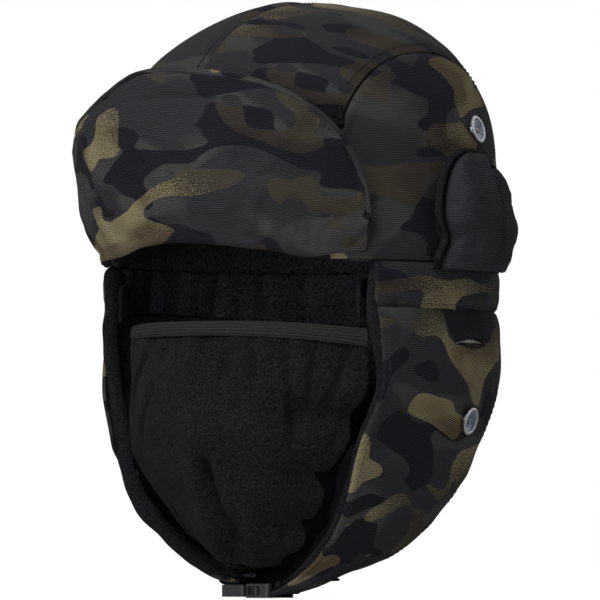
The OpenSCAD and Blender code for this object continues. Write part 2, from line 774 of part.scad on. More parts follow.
module buckle_male() {
    arm_w = 3;
    arm_y = (strap_w + 2 * mouth_side) / 2 - fit_gap;
    base_x = housing_x - fit_gap - housing_l + 0.3;
    arm_l = housing_l - 4.2 - slot_w - fit_gap;
    inner_t = buckle_t - 2.4 - 2 * fit_gap;
    color(plastic)
        translate([0, strap_y, strap_z])
            union() {
                difference() {
                    plate(base_x, housing_x - fit_gap, buckle_w - 1, buckle_t - 1, 2.5);
                    for (x = [base_x + bar_t, base_x + 2 * bar_t + slot_w])
                        translate([x, -strap_w / 2 - 0.5, -buckle_t])
                            cube([slot_w, strap_w + 1, 2 * buckle_t]);
                    translate([base_x - 1, -strap_w / 2 - 0.5, -strap_t / 2 - 0.4])
                        cube([2 * bar_t + slot_w + 2, strap_w + 1, strap_t + 0.8]);
                }
                for (s = [-1, 1])
                    translate([housing_x - 1, s * (arm_y - arm_w / 2) - arm_w / 2, -inner_t / 2])
                        cube([arm_l - 1, arm_w, inner_t]);
                for (s = [-1, 1])
                    translate([housing_x + arm_l - 2, s * (arm_y - arm_w / 2), -inner_t / 2])
                        cylinder(h = inner_t, r = arm_w / 2, $fn = 48);
                translate([housing_x - 1, -1.5, -inner_t / 2])
                    cube([arm_l - 1, 3, inner_t]);
            }
}

// -------------------------------------------------------------------- mask
mask_rows = 8;
mask_cols = 16;
mask_top_z = -mask_top_drop;
mask_seam_z = mask_top_z - mask_band_h;
mask_low_z = mask_seam_z - mask_h;
mask_edge_y = flap_front_y + 1;
mask_side_gap = 3;       // the mask's side edges lie this far inside the ear flaps
// Side edge and nose line of the mask at a share of its drop. The wearer's
// right edge lies in the ear flap, the left edge runs free in front of it.
function mask_z(q) = mask_seam_z + (mask_low_z - mask_seam_z) * q;
function mask_side_y(q) = -mask_edge_y + 4 * pow(q, 3);
function mask_half(q) = skirt_x(mask_side_y(q), mask_z(q), lining_out) - mask_side_gap;
function mask_front(q) = -mask_nose_y + 3 * pow(1 - q, 3) + 36 * pow(q, 2.6);
function mask_pt(s, q, depth) =
    let (half = mask_half(q) * (s > 0 ? 1 - 0.14 * sin(180 * q) : 1))
    [(half - depth) * s,
        mask_side_y(q) + (mask_front(q) + depth - mask_side_y(q)) * (1 - pow(abs(s), 2)),
        mask_z(q)];
function mask_grid(depth) = [for (r = [0 : mask_rows])
    [for (c = [0 : mask_cols])
        mask_pt(2 * c / mask_cols - 1, 1 - r / mask_rows, depth)]];

module mask_panel() {
    color(fleece) sheet(mask_grid(0), mask_grid(mask_t));
}

mask_band_t = mask_t + 1.4;
function mask_band_grid(depth) = [for (z = [mask_seam_z + 0.2, mask_top_z])
    [for (c = [0 : mask_cols])
        let (p = mask_pt(2 * c / mask_cols - 1, 0, depth)) [p.x, p.y, z]]];

module mask_top_band() {
    color(elastic)
        sheet(mask_band_grid(-0.7), mask_band_grid(mask_band_t - 0.7));
}

// Press studs at the temples: the mask's sockets turn on the band's studs.
stud_y = -mask_edge_y + 1;
stud_z = -band_h / 2 - 2;
stud_room = 2.4;         // a stud's base stands this far inside the curved lining
stud_x = (crown_half_w - lining_out) * sqrt(1 - pow(stud_y / (crown_front_l - lining_out), 2))
    - stud_room;
socket_t = 2;
module mask_studs() {
    color(metal)
        both_sides()
            translate([stud_x, stud_y, stud_z])
                rotate([0, -90, 0])
                    union() {
                        cylinder(h = 0.8, d = stud_d - 1, $fn = 48);
                        cylinder(h = 3.4, d = stud_d / 3, $fn = 48);
                    }
}

// A tab from the mask's top edge up to the socket, with the stud's hole.
module mask_sockets() {
    reach = mask_top_z - stud_z + 0.3;
    color(plastic)
        both_sides()
            translate([stud_x - 1.1, stud_y, stud_z])
                rotate([0, -90, 0])
                    difference() {
                        union() {
                            cylinder(h = socket_t, d = stud_d, $fn = 48);
                            translate([reach, -stud_d / 2, 0]) cube([-reach, stud_d, socket_t]);
                        }
                        translate([0, 0, -1])
                            cylinder(h = socket_t + 2, d = stud_d / 3 + 0.3, $fn = 48);
                    }
}

crown_top_left();
crown_top_right();
crown_side_left();
crown_side_right();
crown_lining();
brow_binding();
side_band();
band_lining();
nape_curtain();
nape_lining();
nape_elastic();
crown_patches();
upper_buttons();
upper_button_tacks();
mask_studs();
flap_facing();
flap_padding();
flap_backing();
flap_patches();
ear_cover_face_left();
ear_cover_padding_left();
ear_cover_back_left();
ear_cover_loop_left();
ear_cover_face_right();
ear_cover_padding_right();
ear_cover_back_right();
ear_cover_loop_right();
ear_flap_shell_left();
ear_flap_lining_left();
ear_flap_edge_left();
lower_button_left();
lower_button_tack_left();
ear_flap_shell_right();
ear_flap_lining_right();
ear_flap_edge_right();
lower_button_right();
lower_button_tack_right();
chin_strap_left();
chin_strap_right();
buckle_female();
buckle_male();
mask_panel();
mask_top_band();
mask_sockets();
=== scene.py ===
import math

import bpy
import numpy as np
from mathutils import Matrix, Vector


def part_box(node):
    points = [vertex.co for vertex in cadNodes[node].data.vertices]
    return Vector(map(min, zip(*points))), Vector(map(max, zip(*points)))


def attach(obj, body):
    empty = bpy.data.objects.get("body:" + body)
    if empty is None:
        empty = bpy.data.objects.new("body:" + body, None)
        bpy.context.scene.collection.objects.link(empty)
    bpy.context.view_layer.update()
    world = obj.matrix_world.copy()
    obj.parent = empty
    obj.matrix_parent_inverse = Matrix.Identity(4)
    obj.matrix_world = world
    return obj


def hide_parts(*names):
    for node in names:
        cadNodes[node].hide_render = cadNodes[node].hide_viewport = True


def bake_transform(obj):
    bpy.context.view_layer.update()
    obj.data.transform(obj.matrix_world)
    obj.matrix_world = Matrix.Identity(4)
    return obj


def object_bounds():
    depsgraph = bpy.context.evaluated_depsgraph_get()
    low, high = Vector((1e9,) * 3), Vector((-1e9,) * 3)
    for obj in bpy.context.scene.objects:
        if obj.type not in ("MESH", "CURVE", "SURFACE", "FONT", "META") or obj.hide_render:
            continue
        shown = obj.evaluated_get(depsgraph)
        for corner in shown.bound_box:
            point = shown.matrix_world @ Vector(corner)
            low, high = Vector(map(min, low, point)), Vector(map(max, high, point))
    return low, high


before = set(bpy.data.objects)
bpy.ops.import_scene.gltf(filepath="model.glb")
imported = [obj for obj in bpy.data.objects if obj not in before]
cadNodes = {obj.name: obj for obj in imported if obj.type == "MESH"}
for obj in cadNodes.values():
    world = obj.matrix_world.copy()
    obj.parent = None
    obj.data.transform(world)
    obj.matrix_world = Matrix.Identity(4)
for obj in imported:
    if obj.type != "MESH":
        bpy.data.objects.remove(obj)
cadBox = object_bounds()
print("frame loaded")

mm = 0.001                    # shapes are worked out in millimetres
sides = (("left", 1), ("right", -1))

crown = {"halfWidth": 87, "frontLength": 112, "backLength": 98, "height": 125,
         "squareness": 3.4, "backLean": 11, "seamX": 63, "browRise": 10}
band = {"height": 21, "swell": 1.2}
skirt = {"height": 130, "squareness": 2.4, "chinShift": 24}
layers = {"shell": 2.0, "liningIn": 2.15, "lining": 3.5, "domeGap": 0.9}
earFlap = {"frontY": 51, "wave": 3, "backY": 62, "cornerZ": -84, "tipZ": -147, "tipWidth": 36,
           "topZ": -20.7, "slitZ": -37, "slitY": 12, "slitLength": 28, "gape": 4.2}
frontFlap = {"angle": 58, "height": 75.5, "dip": 10, "baseZ": 5.2, "baseRise": 5.6}
cover = {"width": 66, "height": 52, "y": 12, "pad": 10}


def sind(a):
    return np.sin(np.radians(a))


def cosd(a):
    return np.cos(np.radians(a))


def power0(v, p):
    return np.maximum(v, 0) ** p


def signedPower(v, p):
    return np.sign(v) * np.abs(v) ** p


def points(x, y, z):
    return np.stack(np.broadcast_arrays(x, y, z), axis=-1).astype(float)


def ramp(v, start, end, least=0):
    # 0 or the least at start, 1 at end and beyond
    return np.clip((v - start) / (end - start), least, 1)


def hump(v, middle, width, power=2):
    return np.exp(-np.abs((v - middle) / width) ** power)


def upSteps(first, last, count):
    return np.linspace(first, last, count)[:, None]


def sideSteps(first, last, count):
    return np.linspace(first, last, count)[None, :]


def reach(front):
    return np.where(front > 0, crown["frontLength"], crown["backLength"])


def crownPoint(psi, w, depth=0):
    inward = power0(cosd(90 * w), 1)
    up = power0(sind(90 * w), 2 / crown["squareness"])
    x = (crown["halfWidth"] - depth) * inward * sind(psi)
    y = crown["backLean"] * up - (reach(cosd(psi)) - depth) * inward * cosd(psi)
    return points(x, y, (crown["height"] - depth) * up)


def browHeight(psi):
    share = np.clip(np.abs(psi) / frontFlap["angle"], 0, 1)
    return crown["browRise"] * power0(cosd(90 * share), 1.4)


def profileAt(z, depth=0):
    share = np.clip(z / (crown["height"] - depth), 0, 1)
    return np.degrees(np.arcsin(share ** (crown["squareness"] / 2))) / 90


def crownTopPoint(x, u, depth=0):
    a, h = crown["halfWidth"] - depth, crown["height"] - depth
    q = crown["squareness"]
    z = h * power0(1 - (x / a) ** 2, 1 / q) * power0(sind(90 * (1 - np.abs(u))), 2 / q)
    y = np.sign(u) * (reach(-u) - depth) * np.sqrt(power0(1 - (z / h) ** q - (x / a) ** 2, 1))
    z = np.maximum(z, np.where(u < 0, browHeight(np.degrees(np.arcsin(x / a))), 0))
    return points(x, y + crown["backLean"] * z / h, z)


def crownSidePoint(s, v, depth=0):
    a = crown["halfWidth"] - depth
    tip = math.degrees(math.asin((crown["seamX"] + 0.1) / a)) + 0.3
    psi = tip + (180 - 2 * tip) * (1 - cosd(180 * s)) / 2
    top = np.degrees(np.arccos((crown["seamX"] + 0.1) / (a * sind(psi)))) / 90
    return crownPoint(psi, top * v, depth)


def crownSideX(y, z):
    w = profileAt(z)
    inward, up = cosd(90 * w), power0(sind(90 * w), 2 / crown["squareness"])
    off = y - crown["backLean"] * up
    return crown["halfWidth"] * inward * np.sqrt(power0(1 - (off / (reach(-off) * inward)) ** 2, 1))


def skirtShare(z, depth=0):
    return np.clip((-band["height"] - z) / (skirt["height"] - depth), 0, 1)


def skirtIn(z, depth=0):
    return power0(1 - skirtShare(z, depth) ** 2, 0.42)


def skirtCentre(z):
    return -skirt["chinShift"] * skirtShare(z) ** 1.6


def planPower(z):
    return 2 + (skirt["squareness"] - 2) * np.minimum(1, skirtShare(z) / 0.3)


def skirtLength(front, z, depth):
    return (reach(front) - depth) * skirtIn(z, depth) ** 1.15


def skirtPoint(psi, z, depth=0):
    x = (crown["halfWidth"] - depth) * skirtIn(z, depth) * signedPower(sind(psi), 2 / planPower(z))
    reachY = skirtLength(cosd(psi), z, depth) * signedPower(cosd(psi), 2 / planPower(z))
    return points(x, skirtCentre(z) - reachY, z)


def skirtAngle(y, z, depth=0):
    front = skirtCentre(z) - y
    ratio = signedPower(front / skirtLength(front, z, depth), planPower(z) / 2)
    return np.degrees(np.arccos(np.clip(ratio, -1, 1)))


def earFront(z):
    return -earFlap["frontY"] - earFlap["wave"] * cosd(4.5 * (-band["height"] - z))


# How each ear flap hangs, left 1 and right -1, in millimetres. Its front edge is bowed and notched.
# The shell wraps round the rolled edge, and wrapEnd holds the two levels between which that fades
# out towards the tip, and what is left of it. The tip, the whole lower part, the rear and the
# lower corner are pulled by the other amounts.
hanging = {
    1: {"bow": 2.0, "notch": 3.0, "wrap": 5.0, "wrapEnd": (-150, -130, 0.1), "tip": 1.0,
        "tipWay": (-3.5, 0, -7.0), "drawn": 0, "rear": 3.5, "corner": 3.2},
    -1: {"bow": 1.6, "notch": 0, "wrap": 6.0, "wrapEnd": (-98, -84, 0), "tip": 0.25,
         "tipWay": (-6.5, 0, -7.5), "drawn": 9.0, "rear": 0, "corner": 0}}


def hangingFront(z, side):
    look = hanging[side]
    return earFront(z) + look["bow"] * hump(z, -112, 24, 2.6) - look["notch"] * hump(z, -80, 18)


def wrap(z, side):
    # how far the shell wraps forward over the rolled edge
    look = hanging[side]
    return look["wrap"] * ramp(z, -28, -62) * ramp(z, *look["wrapEnd"])


def hang(grid, side=1):
    look = hanging[side]
    y, z = grid[..., 1:2], grid[..., 2:]
    tip = look["tip"] * ramp(z, -122, -147) ** 1.6 * hump(y, -47, 24)
    drawn = look["drawn"] * ramp(z, -112, -147)
    rear = look["rear"] * ramp(z, -84, -98) * ramp(y, -40, 0)
    corner = look["corner"] * ramp(z, -137, -147) * ramp(y, -28, -16)
    for amount, way in ((tip, look["tipWay"]), (drawn, (-1, 0.1, 0)), (rear, (0.2, 1, 0)),
                        (corner, (0, 0, 1))):
        grid = grid + amount * np.array(way)
    return grid


def ventAngle(z, y):
    return skirtAngle(y, np.maximum(z, earFlap["cornerZ"]))


def earBackAngle(z):
    v = np.clip((earFlap["cornerZ"] - z) / (earFlap["cornerZ"] - earFlap["tipZ"]), 0, 1)
    corner = ventAngle(z, earFlap["backY"])
    tip = skirtAngle(earFront(earFlap["tipZ"]) + earFlap["tipWidth"], earFlap["tipZ"])
    return corner + (tip - corner) * v ** 3


def flapTop(psi):
    share = np.clip(np.abs(psi) / frontFlap["angle"], 0, 1)
    sag = np.where(psi < 0, frontFlap["dip"] * sind(180 * share) ** 2, 0)
    return browHeight(psi) + frontFlap["height"] * power0(1 - share ** 4, 1 / 2.2) - sag


def flapBase(psi):
    return frontFlap["baseZ"] + frontFlap["baseRise"] * hump(psi, 9, 27, 4)


def flapPoint(psi, v, off):
    base = flapBase(psi)
    x = (crown["halfWidth"] + off) * sind(psi)
    y = -(crown["frontLength"] + off) * cosd(psi)
    return points(x, y, base + (flapTop(psi) - base) * v)


def unit(v):
    return v / np.maximum(np.linalg.norm(v, axis=-1, keepdims=True), 1e-9)


def gridNormals(grid):
    along, up = np.gradient(grid, axis=1), np.gradient(grid, axis=0)
    return unit(np.cross(along, up))


def raised(grid, lift):
    # the grid moved outward by that much at each point
    return grid + gridNormals(grid) * lift[..., None]


def lengthAlong(path):
    return np.concatenate([[0], np.cumsum(np.linalg.norm(np.diff(path, axis=0), axis=1))])


def metricUv(grid, offset=(0, 0)):
    # lengths across and up the grid, in millimetres
    across = lengthAlong(grid[len(grid) // 2])
    steps = np.linalg.norm(np.diff(grid, axis=0), axis=2)
    up = np.concatenate([np.zeros((1, grid.shape[1])), np.cumsum(steps, axis=0)])
    return np.stack([np.broadcast_to(across, up.shape) + offset[0], up + offset[1]], axis=-1)


def softNoise(p, size, seed):
    # smooth unevenness between about -1 and 1, with humps about that size
    draw = np.random.RandomState(seed)
    total = 0
    for _ in range(9):
        way = draw.normal(size=3)
        way /= np.linalg.norm(way)
        total = total + np.sin(p @ way * (0.6 + 0.9 * draw.rand()) * 2 * math.pi / size
                               + draw.rand() * 6.3)
    return total / 3.2


def crease(p, a, b, width):
    a, b = np.array(a, float), np.array(b, float)
    way = b - a
    t = np.clip(((p - a) @ way) / (way @ way), 0, 1)
    away = np.linalg.norm(p - (a + t[..., None] * way), axis=-1)
    return hump(away, 0, width) * np.sin(math.pi * np.clip(t, 0.03, 0.97)) ** 0.6


def creased(grid, lift, folds):
    # folds pull the cloth in, or push it out where their depth is negative
    for start, end, width, depth in folds:
        lift = lift - depth * crease(grid, start, end, width)
    return lift


def seamDip(d, depth=1.1, width=2.2, puff=0.5):
    # cloth pulled in at a seam, d millimetres away from it, and puffed beside it
    return puff * hump(d, 7, 4) - depth * hump(d, 0, width)


def clustered(count, share=0.55):
    # steps from 0 to 1, closer together at both ends
    t = np.linspace(0, 1, count)
    return t - share * (t - 0.5 - 0.5 * np.sin(math.pi * (t - 0.5)))


def makeObject(name, verts, faces, uvs, cloth, side=1):
    # side -1 mirrors the piece to the wearer's right
    mesh = bpy.data.meshes.new(name)
    mesh.from_pydata([tuple(v) for v in verts * [side, 1, 1] * mm], [], [f[::side] for f in faces])
    if uvs is not None:
        layer = mesh.uv_layers.new(name="cloth")
        loops = np.zeros(len(mesh.loops), np.int32)
        mesh.loops.foreach_get("vertex_index", loops)
        layer.data.foreach_set("uv", (np.asarray(uvs)[loops] * mm).astype(np.float32).ravel())
    mesh.polygons.foreach_set("use_smooth", [True] * len(mesh.polygons))
    mesh.update()
    piece = bpy.data.objects.new(name, mesh)
    bpy.context.scene.collection.objects.link(piece)
    mesh.materials.append(materials[cloth])
    return piece


def smoothed(piece, finer=1):
    if finer:
        piece.modifiers.new("finer", "SUBSURF").levels = finer
    shown = piece.evaluated_get(bpy.context.evaluated_depsgraph_get())
    mesh = bpy.data.meshes.new_from_object(shown)
    piece.modifiers.clear()
    piece.data = mesh
    return piece


def gridFaces(rows, cols, ring=False):
    steps = [(c, (c + 1) % cols) for c in range(cols if ring else cols - 1)]
    return [(low + a, low + b, low + cols + b, low + cols + a)
            for low in range(0, (rows - 1) * cols, cols) for a, b in steps]


def sheetPiece(name, grid, thickness, cloth, uv=None, side=1, ring=False, finer=1, slit=None):
    # A sheet of cloth with a thickness, from its outer face.
    # slit = (row, first column, last column, lift of each column) opens that row.
    rows, cols = grid.shape[:2]
    uv = metricUv(grid) if uv is None else uv
    verts, uvs = grid.reshape(-1, 3).copy(), uv.reshape(-1, 2).copy()
    faces = gridFaces(rows, cols, ring=ring)
    if slit:
        row, first, last, lift = slit
        extra = {}
        for c in range(first + 1, last):
            extra[row * cols + c] = len(verts)
            verts = np.vstack([verts, verts[row * cols + c] + [0, 0, lift[c]]])
            uvs = np.vstack([uvs, uvs[row * cols + c]])
            verts[row * cols + c][2] -= lift[c]
        for f in range(row * (cols - 1), (row + 1) * (cols - 1)):
            faces[f] = tuple(extra.get(v, v) for v in faces[f])
    piece = makeObject(name, verts, faces, uvs, cloth, side)
    solid = piece.modifiers.new("solid", "SOLIDIFY")
    solid.thickness, solid.offset = thickness * mm, -1
    return smoothed(piece, finer)


def printedPiece(name, grid, offset, side=1, slit=None):
    # a panel of the outer cloth, with its own part of the print
    return sheetPiece(name, grid, layers["shell"], "print", metricUv(grid, offset), side, slit=slit)


def swell(piece, pinned, look):
    # cloth simulation: pressure fills the pad between its pinned seams
    count = len(piece.data.vertices)
    before = np.zeros(3 * count)
    piece.data.vertices.foreach_get("co", before)
    seams = piece.vertex_groups.new(name="seams")
    seams.add([int(k) for k in pinned], 1.0, "REPLACE")
    cloth = piece.modifiers.new("cloth", "CLOTH")
    settings = cloth.settings
    settings.quality = look["quality"]
    settings.mass = look["mass"]
    settings.tension_stiffness = settings.compression_stiffness = look["stiff"]
    settings.shear_stiffness = 0.5 * look["stiff"]
    settings.bending_stiffness = look["bend"]
    settings.air_damping = look["damping"]
    settings.shrink_min = -look["spare"]
    settings.use_pressure = True
    settings.uniform_pressure_force = look["pressure"]
    settings.vertex_group_mass = "seams"
    settings.effector_weights.gravity = 0
    for step in range(look["frames"]):
        bpy.context.scene.frame_set(step + 1)
    shown = piece.evaluated_get(bpy.context.evaluated_depsgraph_get())
    after = np.zeros(3 * count)
    shown.data.vertices.foreach_get("co", after)
    piece.modifiers.remove(cloth)
    bpy.context.scene.frame_set(1)
    move = (after - before).reshape(-1, 3)
    far = np.linalg.norm(move, axis=1, keepdims=True)
    print("swelled", piece.name, "by up to", round(float(far.max()) / mm, 1), "mm")
    move = move * np.minimum(1, look["cap"] * mm / np.maximum(far, 1e-9))
    piece.data.vertices.foreach_set("co", (before + move.ravel()).astype(np.float32))
    piece.data.update()


def padPiece(name, outer, inner, cloth, uv, side=1, look=None, sewn=None):
    # A closed pad between two grids. The inner face, the outline and what is sewn down stay put
    # while the outer face swells.
    rows, cols = outer.shape[:2]
    count = rows * cols
    verts = np.vstack([outer.reshape(-1, 3), inner.reshape(-1, 3)])
    faces = gridFaces(rows, cols)
    faces += [(d + count, c + count, b + count, a + count) for a, b, c, d in faces]
    rim = (list(range(cols)) + [r * cols + cols - 1 for r in range(1, rows)]
           + [(rows - 1) * cols + c for c in range(cols - 2, -1, -1)]
           + [r * cols for r in range(rows - 2, 0, -1)])
    faces += [(rim[k] + count, rim[(k + 1) % len(rim)] + count, rim[(k + 1) % len(rim)], rim[k])
              for k in range(len(rim))]
    piece = makeObject(name, verts, faces, np.vstack([uv.reshape(-1, 2)] * 2), cloth, side)
    if look:
        held = np.zeros((rows, cols), bool) | (False if sewn is None else sewn)
        held[[0, -1], :] = held[:, [0, -1]] = True
        swell(piece, np.concatenate([np.nonzero(held.ravel())[0], np.arange(count, 2 * count)]), look)
    return smoothed(piece)


def pathFrames(path):
    # directions along a path, and two across it that don't twist
    along = unit(np.gradient(path, axis=0))
    across = np.zeros_like(along)
    across[0] = np.cross(along[0], [0.31, 0.2, 0.93])
    across[0] /= np.linalg.norm(across[0])
    for k in range(1, len(path)):
        step = across[k - 1] - along[k] * (across[k - 1] @ along[k])
        across[k] = step / np.linalg.norm(step)
    return along, across, np.cross(along, across)


def rollPiece(name, path, radius, cloth, side=1, ring=12, uneven=0.12, seed=3, uvOffset=(0, 0)):
    # a soft round roll along a path, with rounded ends
    path = np.asarray(path, float)
    n = len(path)
    _, one, two = pathFrames(path)
    length = lengthAlong(path)
    turn = np.arange(ring) * 2 * math.pi / ring
    r = np.asarray(radius) * np.ones(n)
    end = np.clip(np.minimum(length, length[-1] - length) / (1.2 * r.max()), 0, 1)
    r = r * np.sqrt(1 - (1 - end) ** 2 * 0.96)
    bumps = 1 + uneven * softNoise(path, 14, seed)
    verts = (path[:, None] + (r * bumps)[:, None, None]
             * (np.cos(turn)[None, :, None] * one[:, None] + np.sin(turn)[None, :, None] * two[:, None]))
    uv = np.stack(np.broadcast_arrays(length[:, None] + uvOffset[0],
                                      (turn * r.max())[None, :] + uvOffset[1]), axis=-1)
    verts = verts.reshape(-1, 3)
    faces = [f[::-1] for f in gridFaces(n, ring, ring=True)]
    faces += [tuple(range(ring)), tuple(range((n - 1) * ring, n * ring))[::-1]]
    piece = makeObject(name, verts, faces, uv.reshape(-1, 2), cloth, side)
    return smoothed(piece)


stitch = {"pitch": 3.0, "length": 2.3, "radius": 0.27}


def resample(path, pitch):
    path = np.asarray(path, float)
    length = lengthAlong(path)
    count = max(2, int(length[-1] / pitch))
    at = (np.arange(count) + 0.5) * length[-1] / count
    return np.stack([np.interp(at, length, path[:, k]) for k in range(3)], axis=1)


def stitchPiece(name, lines, side=1, sizes=stitch):
    # rows of stitches: each is a small rounded bar that dips in at its ends
    verts, faces = [], []
    ringSides, rings = 5, (-0.5, -0.34, 0, 0.34, 0.5)
    girth = (0.35, 0.85, 1, 0.85, 0.35)
    sink = (-0.9, -0.15, 0.25, -0.15, -0.9)
    for line, normals in lines:
        spots = resample(line, sizes["pitch"])
        ways = unit(np.gradient(spots, axis=0))
        nearest = [np.argmin(((np.asarray(line) - s) ** 2).sum(1)) for s in spots]
        for spot, way, k in zip(spots, ways, nearest):
            n = np.asarray(normals)[k]
            n = n - way * (n @ way)
            n = n / np.linalg.norm(n)
            across = np.cross(way, n)
            start = len(verts)
            for t, g, d in zip(rings, girth, sink):
                centre = spot + way * t * sizes["length"] + n * d * sizes["radius"]
                for s in range(ringSides):
                    a = 2 * math.pi * s / ringSides
                    verts.append(centre + sizes["radius"] * g * (math.cos(a) * across + math.sin(a) * n))
            for r in range(len(rings) - 1):
                for s in range(ringSides):
                    t = (s + 1) % ringSides
                    a = start + r * ringSides
                    faces.append((a + ringSides + s, a + ringSides + t, a + t, a + s))
            faces.append(tuple(range(start, start + ringSides)))
            faces.append(tuple(range(start + (len(rings) - 1) * ringSides, len(verts)))[::-1])
    return makeObject(name, np.array(verts), faces, None, "thread", side)


def feed(tree, socket, value):
    if isinstance(value, bpy.types.NodeSocket):
        tree.links.new(value, socket)
    else:
        socket.default_value = value


def addNode(tree, kind, **values):
    # in0, in1 and so on and capitalised names are the node's inputs, and the rest its settings
    made = tree.nodes.new("ShaderNode" + kind)
    for key, value in values.items():
        if key[2:].isdigit():
            feed(tree, made.inputs[int(key[2:])], value)
        elif key[0].isupper():
            feed(tree, made.inputs[key], value)
        else:
            setattr(made, key, value)
    return made


def newGroup(name, inputs, outputs):
    tree = bpy.data.node_groups.new(name, "ShaderNodeTree")
    for kind, names in (("INPUT", inputs), ("OUTPUT", outputs)):
        for label, (socket, value) in names.items():
            made = tree.interface.new_socket(name=label, in_out=kind, socket_type="NodeSocket" + socket)
            if value is not None:
                made.default_value = value
    return tree, tree.nodes.new("NodeGroupInput").outputs, tree.nodes.new("NodeGroupOutput").inputs


def math2(tree, operation, a, b=0.0, c=0.0):
    return addNode(tree, "Math", operation=operation, in0=a, in1=b, in2=c).outputs[0]


def stepUp(tree, value, low, high):
    # 0 below low, 1 above high and smooth between
    return addNode(tree, "MapRange", interpolation_type="SMOOTHSTEP", in0=value, in1=low,
                   in2=high).outputs[0]


def mixColour(tree, share, a, b):
    return addNode(tree, "Mix", data_type="RGBA", in0=share, in6=a, in7=b).outputs[2]


def noise(tree, vector, scale, detail=2.0, rough=0.5, distort=0.0):
    return addNode(tree, "TexNoise", in0=vector, Scale=scale, Detail=detail, Roughness=rough,
                   Distortion=distort).outputs[0]


def stretched(tree, vector, scale, move=(0, 0, 0)):
    return addNode(tree, "Mapping", in0=vector, in1=move, in3=scale).outputs[0]


def srgb(r, g, b):
    # a colour written in the usual 0 to 255 values
    def linear(v):
        v /= 255
        return v / 12.92 if v <= 0.04045 else ((v + 0.055) / 1.055) ** 2.4
    return (linear(r), linear(g), linear(b), 1)


printColours = {"ground": srgb(44, 44, 47), "grey": srgb(58, 58, 58), "dark": srgb(28, 28, 33),
                "khaki": srgb(116, 108, 83), "brown": srgb(80, 69, 52)}
# how many of each kind of shape there are to a metre
printScales = {"cloud": 20, "shade": 21, "bean": 23, "region": 9, "oval": 38, "grain": 1300}


def buildPrint():
    # a generic disruptive print: grey and dark clouds, khaki beans, ovals and speckle
    colour = {k.title(): ("Color", v) for k, v in printColours.items()}
    tree, given, out = newGroup("disruptivePrint", {"Vector": ("Vector", None), **colour},
                                {"Color": ("Color", None)})
    place = given["Vector"]

    def blotches(kind, flat, move, *settings):
        return noise(tree, stretched(tree, place, (1, flat, 1), move), printScales[kind], *settings)

    cloud = blotches("cloud", 1.7, (0.3, 0.1, 0), 1.5, 0.4, 0.5)
    shade = blotches("shade", 1.9, (1.7, 2.2, 0), 1.0, 0.4, 0.8)
    bean = blotches("bean", 2.1, (4.1, 0.7, 0), 0.5, 0.3, 0.7)
    region = blotches("region", 1.4, (7.7, 5.2, 0), 0.0)
    grain = noise(tree, place, printScales["grain"], 1.0, 0.6)
    soft = math2(tree, "MULTIPLY_ADD", grain, 0.10, cloud)
    colour = mixColour(tree, stepUp(tree, soft, 0.55, 0.63), given["Ground"], given["Grey"])
    colour = mixColour(tree, stepUp(tree, shade, 0.532, 0.545), colour, given["Dark"])
    # khaki shapes, with dark ovals in some and a speckled fade in others
    khaki = stepUp(tree, bean, 0.578, 0.584)
    oval = addNode(tree, "TexVoronoi", in0=stretched(tree, place, (1, 1.7, 1), (0.4, 0.9, 0)),
                   Scale=printScales["oval"], Randomness=0.75)
    inOval = math2(tree, "LESS_THAN", oval.outputs[0], 0.25)
    inOval = math2(tree, "MULTIPLY", inOval, stepUp(tree, region, 0.50, 0.51))
    speckle = math2(tree, "GREATER_THAN", grain, math2(tree, "MULTIPLY_ADD", region, -1.6, 1.22))
    warm = mixColour(tree, stepUp(tree, shade, 0.42, 0.66), given["Khaki"], given["Brown"])
    warm = mixColour(tree, math2(tree, "MULTIPLY", speckle, 0.8), warm, given["Dark"])
    warm = mixColour(tree, inOval, warm, given["Ground"])
    tree.links.new(mixColour(tree, khaki, colour, warm), out["Color"])
    return tree


def buildRib():
    # fine ribs across the cloth with a thread grain in them
    tree, given, out = newGroup(
        "ribWeave", {"Vector": ("Vector", None), "Pitch": ("Float", 0.00085), "Jitter": ("Float", 0.3)},
        {"Height": ("Float", None), "Shade": ("Float", None)})
    parts = addNode(tree, "SeparateXYZ", in0=given["Vector"]).outputs
    wobble = math2(tree, "MULTIPLY", noise(tree, stretched(tree, given["Vector"], (1, 3, 1)), 160, 1.0),
                   given["Jitter"])
    turns = math2(tree, "ADD", math2(tree, "DIVIDE", parts[1], given["Pitch"]), wobble)
    rib = math2(tree, "SINE", math2(tree, "MULTIPLY", turns, 2 * math.pi))
    threadTurns = math2(tree, "DIVIDE", parts[0], math2(tree, "MULTIPLY", given["Pitch"], 0.72))
    thread = math2(tree, "SINE", math2(tree, "MULTIPLY", threadTurns, 2 * math.pi))
    grain = noise(tree, given["Vector"], 1500, 2.0)
    weave = math2(tree, "MULTIPLY_ADD", thread, 0.22, rib)
    height = math2(tree, "MULTIPLY_ADD", grain, 0.9, math2(tree, "MULTIPLY", weave, 0.5))
    tree.links.new(height, out["Height"])
    tree.links.new(stepUp(tree, height, -0.15, 1.05), out["Shade"])
    return tree


def buildPile():
    # fleece: soft clumps with fine pale and dark fibres
    tree, given, out = newGroup("fleecePile", {"Vector": ("Vector", None), "Clump": ("Float", 420.0)},
                                {"Height": ("Float", None), "Shade": ("Float", None)})
    clump = noise(tree, given["Vector"], given["Clump"], 3, 0.75)
    fibre = noise(tree, stretched(tree, given["Vector"], (1, 1, 0.6)), 1900, 1.0, 0.7, 1.0)
    height = math2(tree, "MULTIPLY_ADD", fibre, 0.8, clump)
    patch = noise(tree, given["Vector"], 45, 2.0)
    shade = math2(tree, "MULTIPLY_ADD", stepUp(tree, patch, 0.3, 0.7), 0.14,
                  stepUp(tree, height, 0.66, 1.12))
    tree.links.new(height, out["Height"])
    tree.links.new(shade, out["Shade"])
    return tree


groups = {"print": buildPrint(), "rib": buildRib(), "pile": buildPile()}


